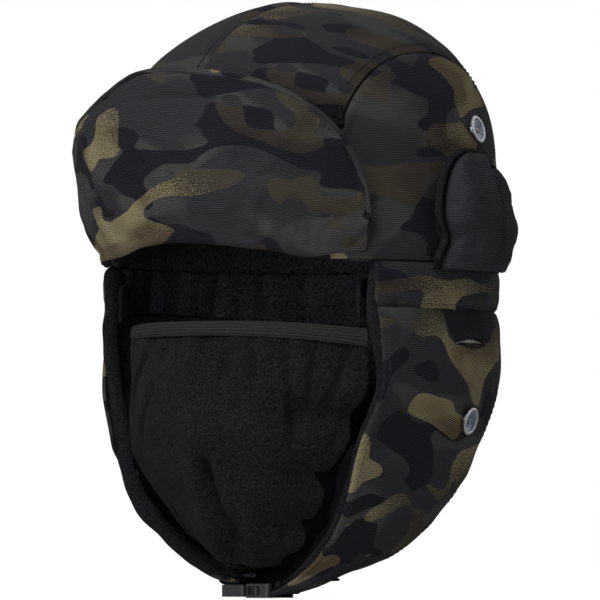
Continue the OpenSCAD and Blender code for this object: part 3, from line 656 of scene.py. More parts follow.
def newMaterial(name, rough, sheen=0.0, sheenRough=0.5, metallic=0.0, specular=0.3):
    material = bpy.data.materials.new(name)
    material.use_nodes = True
    tree = material.node_tree
    shader = tree.nodes["Principled BSDF"]
    for key, value in {"Roughness": rough, "Metallic": metallic, "Specular IOR Level": specular,
                       "Sheen Weight": sheen, "Sheen Roughness": sheenRough}.items():
        shader.inputs[key].default_value = value
    return material, tree, shader


def groupNode(tree, group, vector, **values):
    # a shader group in a material, with its own values
    return addNode(tree, "Group", node_tree=groups[group], Vector=vector, **values).outputs


def darkened(tree, colour, shade, low, high):
    # the colour times a value between low and high, as shade goes from 0 to 1
    factor = math2(tree, "MULTIPLY_ADD", shade, high - low, low)
    if not isinstance(colour, bpy.types.NodeSocket):
        colour = colour[:3]
    return addNode(tree, "VectorMath", operation="SCALE", in0=colour, Scale=factor).outputs[0]


def surface(tree, shader, colour, height, strength, distance):
    bump = addNode(tree, "Bump", Strength=strength, Distance=distance, Height=height).outputs[0]
    tree.links.new(colour, shader.inputs["Base Color"])
    tree.links.new(bump, shader.inputs["Normal"])


def clothMaterial(name, colour=None, pitch=0.00085, sheen=0.008, bump=0.5):
    # ribbed outer cloth, printed where no colour is given
    material, tree, shader = newMaterial(name, 0.85, sheen, 0.5, specular=0.03)
    uv = addNode(tree, "UVMap", uv_map="cloth").outputs[0]
    rib = groupNode(tree, "rib", uv, Pitch=pitch)
    if colour is None:
        base = groupNode(tree, "print", uv)["Color"]
    else:
        mottle = noise(tree, uv, 60, 3.0)
        paler = tuple(1.25 * v for v in colour[:3]) + (1,)
        base = mixColour(tree, stepUp(tree, mottle, 0.3, 0.75), colour, paler)
    base = darkened(tree, base, rib["Shade"], 0.58, 1.42)
    surface(tree, shader, base, rib["Height"], bump, 0.0004)
    return material


def pileMaterial(name, colour, clump=950.0, light=2.1, sheen=0.012, bump=1.0):
    material, tree, shader = newMaterial(name, 0.95, sheen, 0.6, specular=0.02)
    vector = addNode(tree, "TexCoord").outputs["Object"]
    pile = groupNode(tree, "pile", vector, Clump=clump)
    base = darkened(tree, colour, pile["Shade"], 0.22, light)
    surface(tree, shader, base, pile["Height"], bump, 0.0007)
    return material


def elasticMaterial(name, colour):
    # ribbed elastic: bold ribs with a heathered yarn
    material, tree, shader = newMaterial(name, 0.9, 0.01, specular=0.03)
    uv = addNode(tree, "UVMap", uv_map="cloth").outputs[0]
    rib = groupNode(tree, "rib", uv, Pitch=0.0015, Jitter=0.5)
    heather = noise(tree, stretched(tree, uv, (1, 3, 1)), 900, 3.0, 0.8)
    base = darkened(tree, colour, stepUp(tree, heather, 0.35, 0.65), 0.65, 1.35)
    base = darkened(tree, base, rib["Shade"], 0.75, 1.2)
    surface(tree, shader, base, rib["Height"], 0.6, 0.0006)
    return material


def metalMaterial(name, colour, rough):
    material, tree, shader = newMaterial(name, rough, metallic=1.0, specular=0.5)
    cast = noise(tree, addNode(tree, "TexCoord").outputs["Object"], 900, 3.0, 0.6)
    tree.links.new(math2(tree, "MULTIPLY_ADD", cast, 0.25, rough - 0.1), shader.inputs["Roughness"])
    base = darkened(tree, colour, stepUp(tree, cast, 0.3, 0.7), 0.75, 1.1)
    surface(tree, shader, base, cast, 0.25, 0.0003)
    return material


def buttonMaterial(name, y, z):
    # painted highlights on the rim and rivet, with a darker bluish painted reflection in the dish
    # between, about the button's own middle
    material, tree, shader = newMaterial(name, 0.3, metallic=1.0, specular=0.5)
    vector = addNode(tree, "TexCoord").outputs["Object"]
    flat = addNode(tree, "VectorMath", operation="MULTIPLY", in0=vector, in1=(0, 1, 1)).outputs[0]
    away = addNode(tree, "VectorMath", operation="DISTANCE", in0=flat, in1=(0, y, z)).outputs[1]
    dish, rivet = buttonLook["dish"], buttonLook["rivet"]
    rim = stepUp(tree, away, dish * 0.88, dish)
    rivet = math2(tree, "SUBTRACT", 1.0, stepUp(tree, away, rivet * 0.8, rivet))
    # where the painted highlight goes: the rim and the rivet
    paintedHighlight = math2(tree, "MAXIMUM", rim, rivet)
    cast = noise(tree, vector, 700, 3.0, 0.6)
    colour = mixColour(tree, paintedHighlight, buttonLook["dark"], buttonLook["paintedHighlight"])
    base = darkened(tree, colour, stepUp(tree, cast, 0.3, 0.7), 0.7, 1.15)
    tree.links.new(math2(tree, "MULTIPLY_ADD", cast, 0.3, 0.15), shader.inputs["Roughness"])
    surface(tree, shader, base, math2(tree, "MULTIPLY_ADD", paintedHighlight, 3.0, cast), 0.5, 0.0004)
    return material


def plasticMaterial(name, colour):
    material, tree, shader = newMaterial(name, 0.42, specular=0.4)
    vector = addNode(tree, "TexCoord").outputs["Object"]
    base = darkened(tree, colour, noise(tree, vector, 300, 3.0), 0.85, 1.15)
    surface(tree, shader, base, noise(tree, vector, 2600, 2.0), 0.15, 0.0002)
    return material


# the bright colour is a painted highlight on the rim and rivet, and the dark bluish one a painted
# reflection in the dish
buttonLook = {"dish": 0.0051, "rivet": 0.0016, "dark": srgb(92, 98, 112), "paintedHighlight": srgb(158, 160, 162)}
materials = {
    "print": clothMaterial("printedCloth"),
    "plain": clothMaterial("plainCloth", srgb(42, 43, 46), 0.001, 0.008, 0.7),
    "fleece": pileMaterial("blackFleece", srgb(22, 22, 24)),
    "lining": pileMaterial("fleeceLining", srgb(58, 58, 63), 700.0, 1.8),
    # near black, so the chin facings and the mask's inner layer read as the shade deep inside the hat:
    # painted shade
    "facing": pileMaterial("paintedShadeFacing", srgb(5, 5, 8), 700.0, 1.4),
    "elastic": elasticMaterial("ribbedElastic", srgb(42, 42, 43)),
    "webbing": clothMaterial("webbing", srgb(28, 28, 31), 0.0016, 0.01, 0.9),
    "mesh": clothMaterial("paleMesh", srgb(205, 205, 202), 0.0009),
    "hooks": pileMaterial("hookAndLoop", srgb(17, 17, 21), 900.0, 2.2, 0.02),
    "upperMetal": buttonMaterial("upperNickel", 0.0193, 0.0636),
    "lowerMetal": buttonMaterial("lowerNickel", 0.0153, -0.0727),
    "darkMetal": metalMaterial("tackMetal", srgb(120, 120, 124), 0.45),
    "blackMetal": metalMaterial("blackenedStud", srgb(14, 14, 15), 0.7),
    "plastic": plasticMaterial("mouldedPlastic", srgb(38, 39, 41)),
    "thread": pileMaterial("thread", srgb(52, 51, 46), 1400.0, 1.5, bump=0.4),
}
print("materials made")


def flapBlend(piece):
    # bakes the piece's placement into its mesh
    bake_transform(piece)


def coverBlend(piece):
    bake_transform(piece)


def earBlend(piece):
    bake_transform(piece)


# the print's place on each panel is given in millimetres, for the left and the right one
crownLook = {"topRows": 96, "topCols": 36, "sideRows": 34, "sideCols": 72, "soft": 0.7,
             "topHump": 60, "sideHump": 55, "seamDepth": 1.0, "stitchFrom": 3.4, "flatRim": 6,
             "topPrint": {1: (180, 40), -1: (420, 260)}, "sidePrint": {1: (760, 30), -1: (60, 420)}}


def puffed(grid, fromSeam, fromRim, size, seed):
    # pulled in at the seams, uneven between them and flat at the rim
    lift = seamDip(fromSeam, crownLook["seamDepth"]) + crownLook["soft"] * softNoise(grid, size, seed)
    return raised(grid, lift * (1 - hump(fromRim, 0, crownLook["flatRim"])))


def crownTop(name, side):
    u = upSteps(-1, 1, crownLook["topRows"])
    x = 0.1 + (crown["seamX"] - 0.2) * clustered(crownLook["topCols"])[None, :]
    grid = crownTopPoint(x, u)
    fromSeam = np.minimum(x, crown["seamX"] - x)
    grid = puffed(grid, fromSeam, grid[..., 2], crownLook["topHump"], 5 + side)
    piece = printedPiece(name, grid, crownLook["topPrint"][side], side)
    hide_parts("crown_top_" + ("left" if side > 0 else "right"))
    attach(piece, "hat")


def crownSide(name, side):
    s = sideSteps(0.004, 0.996, crownLook["sideCols"])
    v = clustered(crownLook["sideRows"])[:, None]
    grid = crownSidePoint(s, v)
    up = metricUv(grid)[..., 1]
    grid[..., 2] += hump(up, 0, 3) * 0.2
    grid = puffed(grid, up[-1:] - up, up, crownLook["sideHump"], 11 + side)
    piece = printedPiece(name, grid, crownLook["sidePrint"][side], side)
    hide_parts("crown_side_" + ("left" if side > 0 else "right"))
    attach(piece, "hat")


def crownStitches():
    lines = []
    along = np.linspace(-0.97, 0.97, 160)
    for x in (crownLook["stitchFrom"], crown["seamX"] - crownLook["stitchFrom"]):
        line = crownTopPoint(np.full_like(along, x), along)
        outward = line - [0, 0, 10]
        lines.append((line + unit(outward) * 0.1, outward))
    for name, side in sides:
        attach(stitchPiece("crownStitches_" + name, lines, side), "hat")


for name, side in sides:
    crownTop("crownTop_" + name, side)
    crownSide("crownSide_" + name, side)
crownStitches()
print("crown made")


liningLook = {"fuzz": 0.25, "fuzzSize": 5, "crownFold": 1.2, "bandFold": 1.0}


def foldedLining(grid, fold, size, seed, fuzzSeed):
    # upright folds that reach inward, and the fleece's own fuzz
    folds = fold * softNoise(grid * [1, 1, 0.25], size, seed)
    fuzz = liningLook["fuzz"] * softNoise(grid, liningLook["fuzzSize"], fuzzSeed)
    return raised(grid, fuzz - fold + folds)


def crownLining():
    psi = np.linspace(-180, 180, 97)[None, :-1]
    w = np.concatenate([[0], np.linspace(0.03, 0.985, 40)])[:, None]
    grid = crownPoint(psi, w, layers["liningIn"] + layers["domeGap"])
    grid[0, :, 2] = browHeight(psi[0]) - 1.2
    grid = foldedLining(grid, liningLook["crownFold"], 16, 25, 21)
    piece = sheetPiece("crownLining", grid, layers["lining"], "lining", ring=True)
    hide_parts("crown_lining")
    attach(piece, "hat")


def browBinding():
    look = {"halfAngle": 54, "radius": 2.2, "inside": 2.8, "above": 0.6}
    psi = np.linspace(-look["halfAngle"], look["halfAngle"], 90)
    path = crownPoint(psi, 0, look["inside"])
    path[:, 2] = browHeight(psi) + look["above"]
    piece = rollPiece("browBinding", path, look["radius"], "fleece")
    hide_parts("brow_binding")
    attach(piece, "hat")


crownLining()
browBinding()


bandLook = {"rows": 18, "cols": 220, "pucker": 0.35, "puckerLength": 9, "front": 60.6, "flare": 1.2,
            "stitchRow": 3, "print": (0, 640)}


def sideBand():
    v = clustered(bandLook["rows"])[:, None]
    psi = sideSteps(bandLook["front"], 360 - bandLook["front"], bandLook["cols"])
    depth = -band["swell"] * sind(180 * v) + bandLook["flare"] * (1 - v) ** 2
    grid = points(*(crownPoint(psi, 0, depth)[..., :2].transpose(2, 0, 1)),
                  -band["height"] - 0.8 + (band["height"] + 1.2) * v)
    up = metricUv(grid)[..., 1]
    edge = np.minimum(up, up[-1:] - up)
    pucker = softNoise(grid * [1, 1, 0.35], bandLook["puckerLength"], 31)
    grid = raised(grid, seamDip(edge, 0.8, 1.8, 0.4) + bandLook["pucker"] * pucker)
    piece = printedPiece("sideBand", grid, bandLook["print"])
    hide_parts("side_band")
    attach(piece, "hat")
    out = gridNormals(grid)
    lines = [(grid[row], out[row]) for row in (bandLook["stitchRow"], -1 - bandLook["stitchRow"])]
    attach(stitchPiece("bandStitches", lines), "hat")


def bandLining():
    v = upSteps(0, 1, 14)
    psi = sideSteps(bandLook["front"] + 1, 359 - bandLook["front"], 180)
    lap = 1.5 * ramp(v, 0.85, 1) + 1.0 * ramp(v, 0.1, 0)
    base = crownPoint(psi, 0, layers["liningIn"] + lap)
    # behind the nape its lower edge is tucked in
    tuck = ramp(np.abs(psi - 180), 68, 56) * ramp(v, 0.3, 0)
    base = base * (1 - 0.055 * tuck[..., None])
    z = -band["height"] - 0.6 + (band["height"] + 2.4) * v - 4.5 * tuck
    grid = points(base[..., 0], base[..., 1], z)
    grid = foldedLining(grid, liningLook["bandFold"], 15, 26, 22)
    piece = sheetPiece("bandLining", grid, layers["lining"], "lining")
    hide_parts("band_lining")
    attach(piece, "hat")


sideBand()
bandLining()
print("band made")


napeLook = {"rows": 30, "cols": 80, "gather": 1.1, "gatherZ": -31, "gatherHeight": 16, "pleats": 14,
            "drop": 88, "rounded": 8, "print": (300, 900)}


def napeGrid(depth, rows, cols):
    c = sideSteps(0, 1, cols)
    v = upSteps(0, 1, rows)
    about = 135 + 90 * c
    hem = -band["height"] - napeLook["drop"] - napeLook["rounded"] * cosd(1.5 * (about - 180)) ** 2
    z = earFlap["topZ"] + (hem - earFlap["topZ"]) * (1 - v)
    start = ventAngle(z, earFlap["backY"] + 1)
    psi = start + (360 - 2 * start) * c
    return skirtPoint(psi, z, depth), psi, z


def nape():
    grid, psi, z = napeGrid(0, napeLook["rows"], napeLook["cols"])
    near = hump(z, napeLook["gatherZ"], napeLook["gatherHeight"])
    gather = near * sind(psi * napeLook["pleats"] + 25 * softNoise(grid, 40, 7))
    soft = ramp(np.minimum(psi - psi[:, :1], psi[:, -1:] - psi), 0, 6)
    lift = -0.4 - napeLook["gather"] * (0.6 + 0.4 * gather) * near + 0.8 * softNoise(grid, 35, 8)
    grid = raised(grid, np.minimum(lift * soft, 0.6))
    piece = printedPiece("napeCurtain", grid, napeLook["print"])
    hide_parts("nape_curtain")
    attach(piece, "hat")
    out = gridNormals(grid)
    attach(stitchPiece("napeStitches", [(grid[2], out[2]), (grid[1], out[1])]), "hat")
    inside, _, _ = napeGrid(layers["shell"] + 1.6, napeLook["rows"], napeLook["cols"])
    inside[-1, :, 2] += 4
    inside = raised(inside, liningLook["fuzz"] * softNoise(inside, liningLook["fuzzSize"], 23) - 0.9)
    lining = sheetPiece("napeLining", inside, layers["lining"] - 0.6, "lining")
    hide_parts("nape_lining")
    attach(lining, "hat")


def napeElastic():
    # wide elastic behind the curtain, drawn in so that its ribs bunch up
    look = {"width": 12, "drop": 3, "depth": 2.8, "rib": 0.3, "ribAngle": 3, "thick": 0.9}
    psi = sideSteps(130, 230, 150)
    v = upSteps(0, 1, 9)
    grid = skirtPoint(psi, earFlap["topZ"] - look["drop"] - look["width"] * (1 - v), look["depth"])
    grid = raised(grid, look["rib"] * sind(360 * psi / look["ribAngle"]) - look["rib"])
    piece = sheetPiece("napeElastic", grid, look["thick"], "elastic")
    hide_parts("nape_elastic")
    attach(piece, "hat")


nape()
napeElastic()
print("nape made")


# folds run between two places, with a width and a depth
earLook = {"rows": 74, "cols": 66, "roll": 3.2, "rollIn": 3.6, "rollOut": 1.4, "rollRight": 1.3,
           "colWidth": 1.8, "fullWrap": 5, "soft": 0.9, "humps": 52, "fine": 0.25, "fineHumps": 17,
           "standUp": 1.9, "turnIn": 1.2, "flatEdge": 0.6, "liningLift": 2.2,
           "print": {1: (670, 1200), -1: (330, 1200)}, "folds": [
               ((86, 2, -38), (79, 12, -70), 5.5, 1.1), ((86, 22, -38), (79, 18, -70), 5.0, 0.9),
               ((85, 30, -40), (70, 40, -95), 7.0, 0.8), ((80, -20, -44), (78, 0, -75), 6.0, 0.6),
               ((76, 20, -80), (60, 30, -112), 7.0, 0.8), ((76, 8, -80), (56, -12, -122), 7.0, 0.7),
               ((87, -2, -34), (87, 26, -34), 2.5, -0.9)]}
chinLook = {"thick": 2.0, "inside": 3.2, "top": -84, "soft": 0.8,
            "reach": {1: (-39, 16, -1), -1: (-25, 34, -1)}}
meshLook = {"thick": 0.5, "halfWidth": 20, "halfHeight": 6, "gap": 0.4}
earStitch = {"pitch": 3.0, "length": 2.2, "radius": 0.17}


def earGrid(depth, rows, cols, side, wrapped=0):
    z = earFlap["tipZ"] + (earFlap["topZ"] - earFlap["tipZ"]) * np.linspace(0, 1, rows)
    row = int(np.argmin(np.abs(z - earFlap["slitZ"])))
    z[row] = earFlap["slitZ"]
    z = z[:, None]
    c = sideSteps(0, 1, cols)
    first, last = skirtAngle(hangingFront(z, side) - wrapped * wrap(z, side), z), earBackAngle(z)
    return hang(skirtPoint(first + (last - first) * c, z, depth), side), row


def slitOf(grid, row, gape):
    # the hearing slit's row, its ends and its lift at each column
    y = grid[row, :, 1]
    share = (y - earFlap["slitY"]) / (earFlap["slitLength"] / 2)
    lift = gape / 2 * np.clip(1 - share ** 2, 0, 1)
    opened = np.nonzero(lift > 0)[0]
    return row, opened[0] - 1, opened[-1] + 1, lift


def chinFacing(name, side):
    # the lining's facing reaches in from the front edge at the chin, coloured near black as painted
    # shade
    z = upSteps(earFlap["tipZ"] + 0.5, chinLook["top"], 34)
    across = sideSteps(0, 1, 14)
    edge = skirtPoint(skirtAngle(hangingFront(z, side), z), z, chinLook["inside"])
    way = np.array(chinLook["reach"][side]) * ramp(z, -80, -110, 0.25)[..., None]
    grid = hang(edge + across[..., None] * way, side)
    grid = raised(grid, chinLook["soft"] * softNoise(grid, 16, 91))
    piece = sheetPiece("chinFacing_" + name, grid, chinLook["thick"], "facing", side=side)
    earBlend(piece)


def hearingMesh(name, side):
    z = earFlap["slitZ"] + meshLook["halfHeight"] * upSteps(-1, 1, 8)
    psi = skirtAngle(earFlap["slitY"] + meshLook["halfWidth"] * sideSteps(-1, 1, 20), z)
    grid = skirtPoint(psi, z, layers["shell"] + meshLook["gap"])
    piece = sheetPiece("hearingMesh_" + name, grid, meshLook["thick"], "mesh", side=side)
    earBlend(piece)


def earShell(name, side):
    grid, row = earGrid(0, earLook["rows"], earLook["cols"], side, 1)
    z = grid[..., 2]
    lift = (earLook["soft"] * softNoise(grid, earLook["humps"], 41 + side)
            + earLook["fine"] * softNoise(grid, earLook["fineHumps"], 43 + side))
    lift = creased(grid, lift, earLook["folds"])
    lift = lift + seamDip(earFlap["topZ"] - z, 0.6, 1.8, 0.3)
    # where it wraps round the roll it stands up and turns in, and elsewhere it lies flatter
    fromEdge = earLook["colWidth"] * np.arange(earLook["cols"])[None, :]
    over = ramp(wrap(z, side), 0, earLook["fullWrap"])
    lift = lift + over * (earLook["standUp"] * hump(fromEdge, 0, 8)
                          - earLook["turnIn"] * hump(fromEdge, 0, 1.6))
    lift = lift - earLook["flatEdge"] * (1 - over) * hump(fromEdge, 0, 4)
    grid = raised(grid, lift)
    piece = printedPiece("earFlap_" + name, grid, earLook["print"][side], side,
                         slitOf(grid, row, earFlap["gape"]))
    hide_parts("ear_flap_shell_" + name)
    earBlend(piece)
    return grid, lift


def earLining(name, side, lift):
    inside, row = earGrid(layers["liningIn"], earLook["rows"], earLook["cols"], side)
    inside[..., 2] += earLook["liningLift"] * ramp(inside[..., 2], -132, -144)
    inside = raised(inside, np.minimum(lift, 0.1) - 0.1 + 0.2 * softNoise(inside, 5, 24))
    lining = sheetPiece("earLining_" + name, inside, layers["lining"] - 0.3, "lining", side=side,
                        slit=slitOf(inside, row, earFlap["gape"] + 0.6))
    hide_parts("ear_flap_lining_" + name)
    earBlend(lining)


def earEdge(name, side):
    # the lining rolls over the front edge
    heights = np.linspace(earFlap["tipZ"] + 2, 1, 130)
    deeper = earLook["rollIn"] + 1.0 * ramp(wrap(heights, side), 0, earLook["fullWrap"])
    path = skirtPoint(skirtAngle(hangingFront(heights, side), heights), heights, deeper)
    path[:, 1] -= earLook["rollOut"]
    radius = earLook["roll"] * (1 if side > 0 else earLook["rollRight"])
    roll = rollPiece("earEdge_" + name, hang(path, side), radius, "fleece", side, 14, 0.1)
    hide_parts("ear_flap_edge_" + name)
    earBlend(roll)


def earFlapPieces(name, side):
    grid, lift = earShell(name, side)
    earLining(name, side, lift)
    earEdge(name, side)
    chinFacing(name, side)
    hearingMesh(name, side)
    # its front and back edges are stitched
    normals = gridNormals(grid)
    hem = [(grid[4:-2, col], normals[4:-2, col]) for col in (2, -6)]
    stitches = stitchPiece("earStitches_" + name, hem, side, earStitch)
    earBlend(stitches)


for name, side in sides:
    earFlapPieces(name, side)
print("ear flaps made")


flapLook = {"rows": 48, "cols": 120, "soft": 0.8, "roll": 1.6, "pad": 3.6, "bulge": 13.5,
            "turnUnder": 4.2, "foot": 4.8, "fullAt": 62, "tuck": 4.6, "topIn": 2.8, "seam": 0.3,
            "print": (60, 60), "backPrint": (900, 500), "weltPrint": (1300, 90), "folds": [
                ((-60, -105, 8), (-48, -112, 40), 7, 0.7), ((30, -118, 6), (55, -98, 30), 8, 0.6),
                ((70, -80, 20), (60, -95, 48), 6, 0.7), ((-30, -122, 12), (20, -124, 16), 8, 0.5)]}
# the pressure blows the pad up over that many frames, and no point moves further than the cap
flapSwell = {"pressure": 4.0, "cap": 2.2, "mass": 0.05, "stiff": 12, "bend": 0.4, "spare": 0.03,
             "quality": 5, "damping": 3, "frames": 20}


def flapOffset(psi, v):
    # how far the flap stands off the crown: little at its foot and at its ends
    up = (flapTop(psi) - flapBase(psi)) * v
    full = 1 - (1 - ramp(up, 0, flapLook["fullAt"])) ** 3
    off = (flapLook["foot"] + (flapLook["bulge"] - flapLook["foot"]) * full
           - flapLook["topIn"] * power0(v, 7))
    tuck = flapLook["tuck"] * ramp(np.abs(psi), 12, 42) * hump(up, 0, 18)
    return off - tuck * np.where(psi < 0, 1, 0.6)


def flapUnder(psi):
    # the face turns under at the brow, where it is sewn to the crown
    turn = np.array([100, 78, 52, 26])[:, None]
    off = flapOffset(psi, 0) * (1 - flapLook["turnUnder"] * (1 - cosd(turn)) / flapLook["foot"])
    fold = flapLook["turnUnder"] * (1 - 0.7 * ramp(np.abs(psi), 40, 56))
    return points((crown["halfWidth"] + off) * sind(psi), -(crown["frontLength"] + off) * cosd(psi),
                  flapBase(psi) - fold * sind(turn))


def flapFace():
    # returns the face, its outward directions and the padding's inner face
    psi = (0.993 * frontFlap["angle"] * sind(90 * np.linspace(-1, 1, flapLook["cols"])))[None, :]
    v = clustered(flapLook["rows"], 0.4)[:, None]
    under = flapUnder(psi)
    grid = np.concatenate([under, flapPoint(psi, v, flapOffset(psi, v))])
    out = gridNormals(grid)
    across = np.abs(psi) / frontFlap["angle"]
    rise = np.concatenate([np.zeros((len(under), 1)), v])
    soft = np.clip(4 * (1 - across), 0, 1) * np.clip(6 * (1 - rise), 0, 1)
    lift = (flapLook["soft"] * softNoise(grid, 62, 51) + 0.3 * softNoise(grid, 24, 52)) * soft
    grid = grid + out * creased(grid, lift, flapLook["folds"])[..., None]
    seam = flapLook["seam"]
    fill = seam + (flapLook["pad"] - seam) * (1 - across ** 6) * (1 - np.abs(2 * rise - 1) ** 3)
    inner = grid - out * (1.7 + fill)[..., None]
    face = padPiece("flapFace", grid, inner, "print", metricUv(grid, flapLook["print"]), look=flapSwell,
                    sewn=np.broadcast_to(rise < 0.02, soft.shape))
    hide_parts("flap_facing", "flap_padding")
    flapBlend(face)
    return grid, out, inner


def flapBacking(inner, out):
    backGrid = inner[4:] - out[4:] * 0.2
    back = sheetPiece("flapBacking", backGrid, 1.5, "print", metricUv(backGrid, flapLook["backPrint"]))
    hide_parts("flap_backing")
    flapBlend(back)


def flapWelt(grid, step=1.6):
    # the backing rolls over the top edge as a narrow welt
    welt = np.concatenate([grid[5:-1:2, 0], grid[-1, 1:-1] + [0, 0, 0.4], grid[-2:4:-2, -1]])
    welt = resample(welt, step)
    for _ in range(3):
        welt[1:-1] = (welt[:-2] + welt[1:-1] + welt[2:]) / 3
    fromEnd = np.minimum(np.arange(len(welt)), np.arange(len(welt))[::-1]) * step
    girth = flapLook["roll"] * np.clip(0.15 + fromEnd / 14, 0, 1)
    flapBlend(rollPiece("flapWelt", welt, girth, "print", uneven=0.1, uvOffset=flapLook["weltPrint"]))


face, outward, inner = flapFace()
flapBacking(inner, outward)
flapWelt(face)
flapBlend(stitchPiece("flapStitches", [(face[-5, 3:-3], outward[-5, 3:-3])]))


patchLook = {"halfAngle": 22 / crown["frontLength"] * 30, "thick": 1.5, "crownAngle": 44, "crownZ": 66,
             "crownHalf": 4.8, "flapAngle": 35, "flapZ": 58, "flapHalf": 7}


def patches():
    # hook-and-loop patches on the crown and behind the front flap
    wide, tall = patchLook["halfAngle"] * sideSteps(-1, 1, 26), upSteps(-1, 1, 18)
    for name, side in sides:
        z = patchLook["crownZ"] + patchLook["crownHalf"] * tall
        grid = crownPoint(patchLook["crownAngle"] + wide, profileAt(z), -1.9)
        grid = raised(grid, 0.25 * softNoise(grid, 2.2, 61))
        piece = sheetPiece("crownPatch_" + name, grid, patchLook["thick"], "hooks", side=side)
        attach(piece, "hat")
        if side > 0:
            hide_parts("crown_patches")
        psi = side * (patchLook["flapAngle"] + wide)
        base = browHeight(psi) + 1
        v = (patchLook["flapZ"] + patchLook["flapHalf"] * tall - base) / (flapTop(psi) - base)
        grid = flapPoint(psi, v, 0.6)
        grid = raised(grid, 0.3 * softNoise(grid, 2.0, 62))
        grid[..., 1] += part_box("flap_patches")[0].y / mm + 1.0 - grid[..., 1].min()
        piece = sheetPiece("flapPatch_" + name, grid, patchLook["thick"], "hooks")
        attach(piece, "front_flap")
        if side > 0:
            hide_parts("flap_patches")


patches()
print("front flap made")


# the face stands off the crown by this gap, its front edge has a wave, and a quilted groove runs up it
coverLook = {"rows": 44, "cols": 52, "roll": 1.6, "open": 2.6, "rearDrop": 5, "lip": 3.2, "inset": 4.6,
             "gap": 0.8, "gapRise": 2.6, "waveBack": 4.0, "waveOut": 2.6, "soft": 0.5, "grooveY": 15,
             "grooveLean": 0.08, "grooveWidth": 3, "grooveDepth": 2.6,
             "print": {1: (290, 0), -1: (110, 0)}, "folds": [
                 ((98, -8, 3), (97, 0, 30), 5, 1.0), ((97, -18, 6), (96, -16, 34), 4, -0.8)]}
coverSwell = {**flapSwell, "cap": 1.6, "spare": 0.04}


def coverHalf(z, s):
    sharp = np.where(s < 0, 5, 3.6)
    return cover["width"] / 2 * power0(1 - power0(z / (cover["height"] * 1.02), sharp), 1 / 3)


def coverGrid(depth, share, inset=0):
    r = upSteps(0, 1, coverLook["rows"])
    s = sind(90 * (2 * sideSteps(0, 1, coverLook["cols"]) - 1))
    z = (cover["height"] + coverLook["lip"]) * sind(90 * r) - coverLook["lip"]
    wave = coverLook["waveBack"] * hump(z, 11, 5) - coverLook["waveOut"] * hump(z, 28, 14) - 1.5
    y = cover["y"] + s * coverHalf(z, s) + (wave + inset) * power0(-s, 3)
    gap = coverLook["gap"] + coverLook["gapRise"] * power0(z / cover["height"], 1.5)
    up = 0.5 + 0.5 * sind(180 * power0(z / cover["height"], 0.75))
    fill = 0.4 + (cover["pad"] - 0.4) * (1 - np.abs(s) ** 6) * up * (1 - (z / cover["height"]) ** 8)
    # the front edge stands open, away from the crown
    high = power0(z / cover["height"], 0.8)
    stand = coverLook["open"] * hump(s, -1, 0.4) * sind(166 * high)
    # behind its middle the top drops in a step
    step = ramp(s, 0.08, 0.24)
    drop = coverLook["rearDrop"] * step ** 2 * (3 - 2 * step) + 4 * power0(s - 0.24, 2)
    x = crownSideX(y, z) + gap + depth + share * fill + stand
    return points(x, y, z * (1 - drop / cover["height"])), s


def earCover(name, side):
    outer, s = coverGrid(3.3, 1, coverLook["inset"])
    inner, _ = coverGrid(1.65, 0, coverLook["inset"])
    normals = gridNormals(outer)
    y, z = outer[..., 1], outer[..., 2]
    groove = (y - coverLook["grooveY"] - coverLook["grooveLean"] * z) / coverLook["grooveWidth"]
    lift = coverLook["soft"] * softNoise(outer, 28, 71 + side)
    lift = lift - coverLook["grooveDepth"] * hump(groove, 0, 1) * ramp(z, 0, 40, 0.15)
    lift = creased(outer, lift, coverLook["folds"])
    soft = np.clip(5 * (1 - np.abs(s)), 0, 1) * ramp(z, cover["height"], cover["height"] - 6)
    outer = outer + normals * (lift * soft)[..., None]
    face = padPiece("earCover_" + name, outer, inner, "plain", metricUv(outer, coverLook["print"][side]),
                    side, look=coverSwell, sewn=np.abs(groove) < 0.35)
    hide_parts("ear_cover_face_" + name, "ear_cover_padding_" + name)
    coverBlend(face)
    # the back is black fleece so that the gap along the front edge reads dark: painted shade
    backGrid, _ = coverGrid(1.5, 0)
    back = sheetPiece("earCoverBack_" + name, backGrid, 1.4, "fleece", side=side, finer=0)
    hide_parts("ear_cover_back_" + name)
    coverBlend(back)
    # a rolled edge down the front, round the top and down the back, its black fleece partly the
    # binding's own and partly painted shade along the front
    edge, _ = coverGrid(2.7, 0)
    rim = resample(np.concatenate([edge[1:-1, 0], edge[-1, 1:-1], edge[-2:0:-1, -1]]), 2.2)
    roll = rollPiece("earCoverEdge_" + name, rim, coverLook["roll"], "fleece", side, 12, 0.12, 77)
    coverBlend(roll)


def coverLoop(name, side):
    # round elastic, tucked behind the tip
    look = {"bow": 5, "radius": 0.9, "rise": 9, "gapHeight": 54}
    turn = np.linspace(0, 180, 40)
    low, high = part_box("ear_cover_loop_" + name)
    y = (low.y + high.y) / 2 / mm - look["bow"] * cosd(turn)
    z = low.z / mm + look["radius"] + look["rise"] * sind(turn)
    gap = coverLook["gap"] + coverLook["gapRise"] * power0(z / look["gapHeight"], 1.5)
    path = points(crownSideX(y, z) + gap / 2, y, z)
    piece = rollPiece("coverLoop_" + name, path, look["radius"], "elastic", side, 10, 0.04)
    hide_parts("ear_cover_loop_" + name)
    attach(piece, "ear_cover_" + name)


for name, side in sides:
    earCover(name, side)
    coverLoop(name, side)
print("ear covers made")


mask = {"topZ": -26, "bandHeight": 8.5, "height": 106, "noseY": 100, "edgeY": 52, "setBack": 7,
        "sideGap": 3, "thick": 2.5, "inside": 5.65, "chinIn": 36, "innerGap": 6.5}
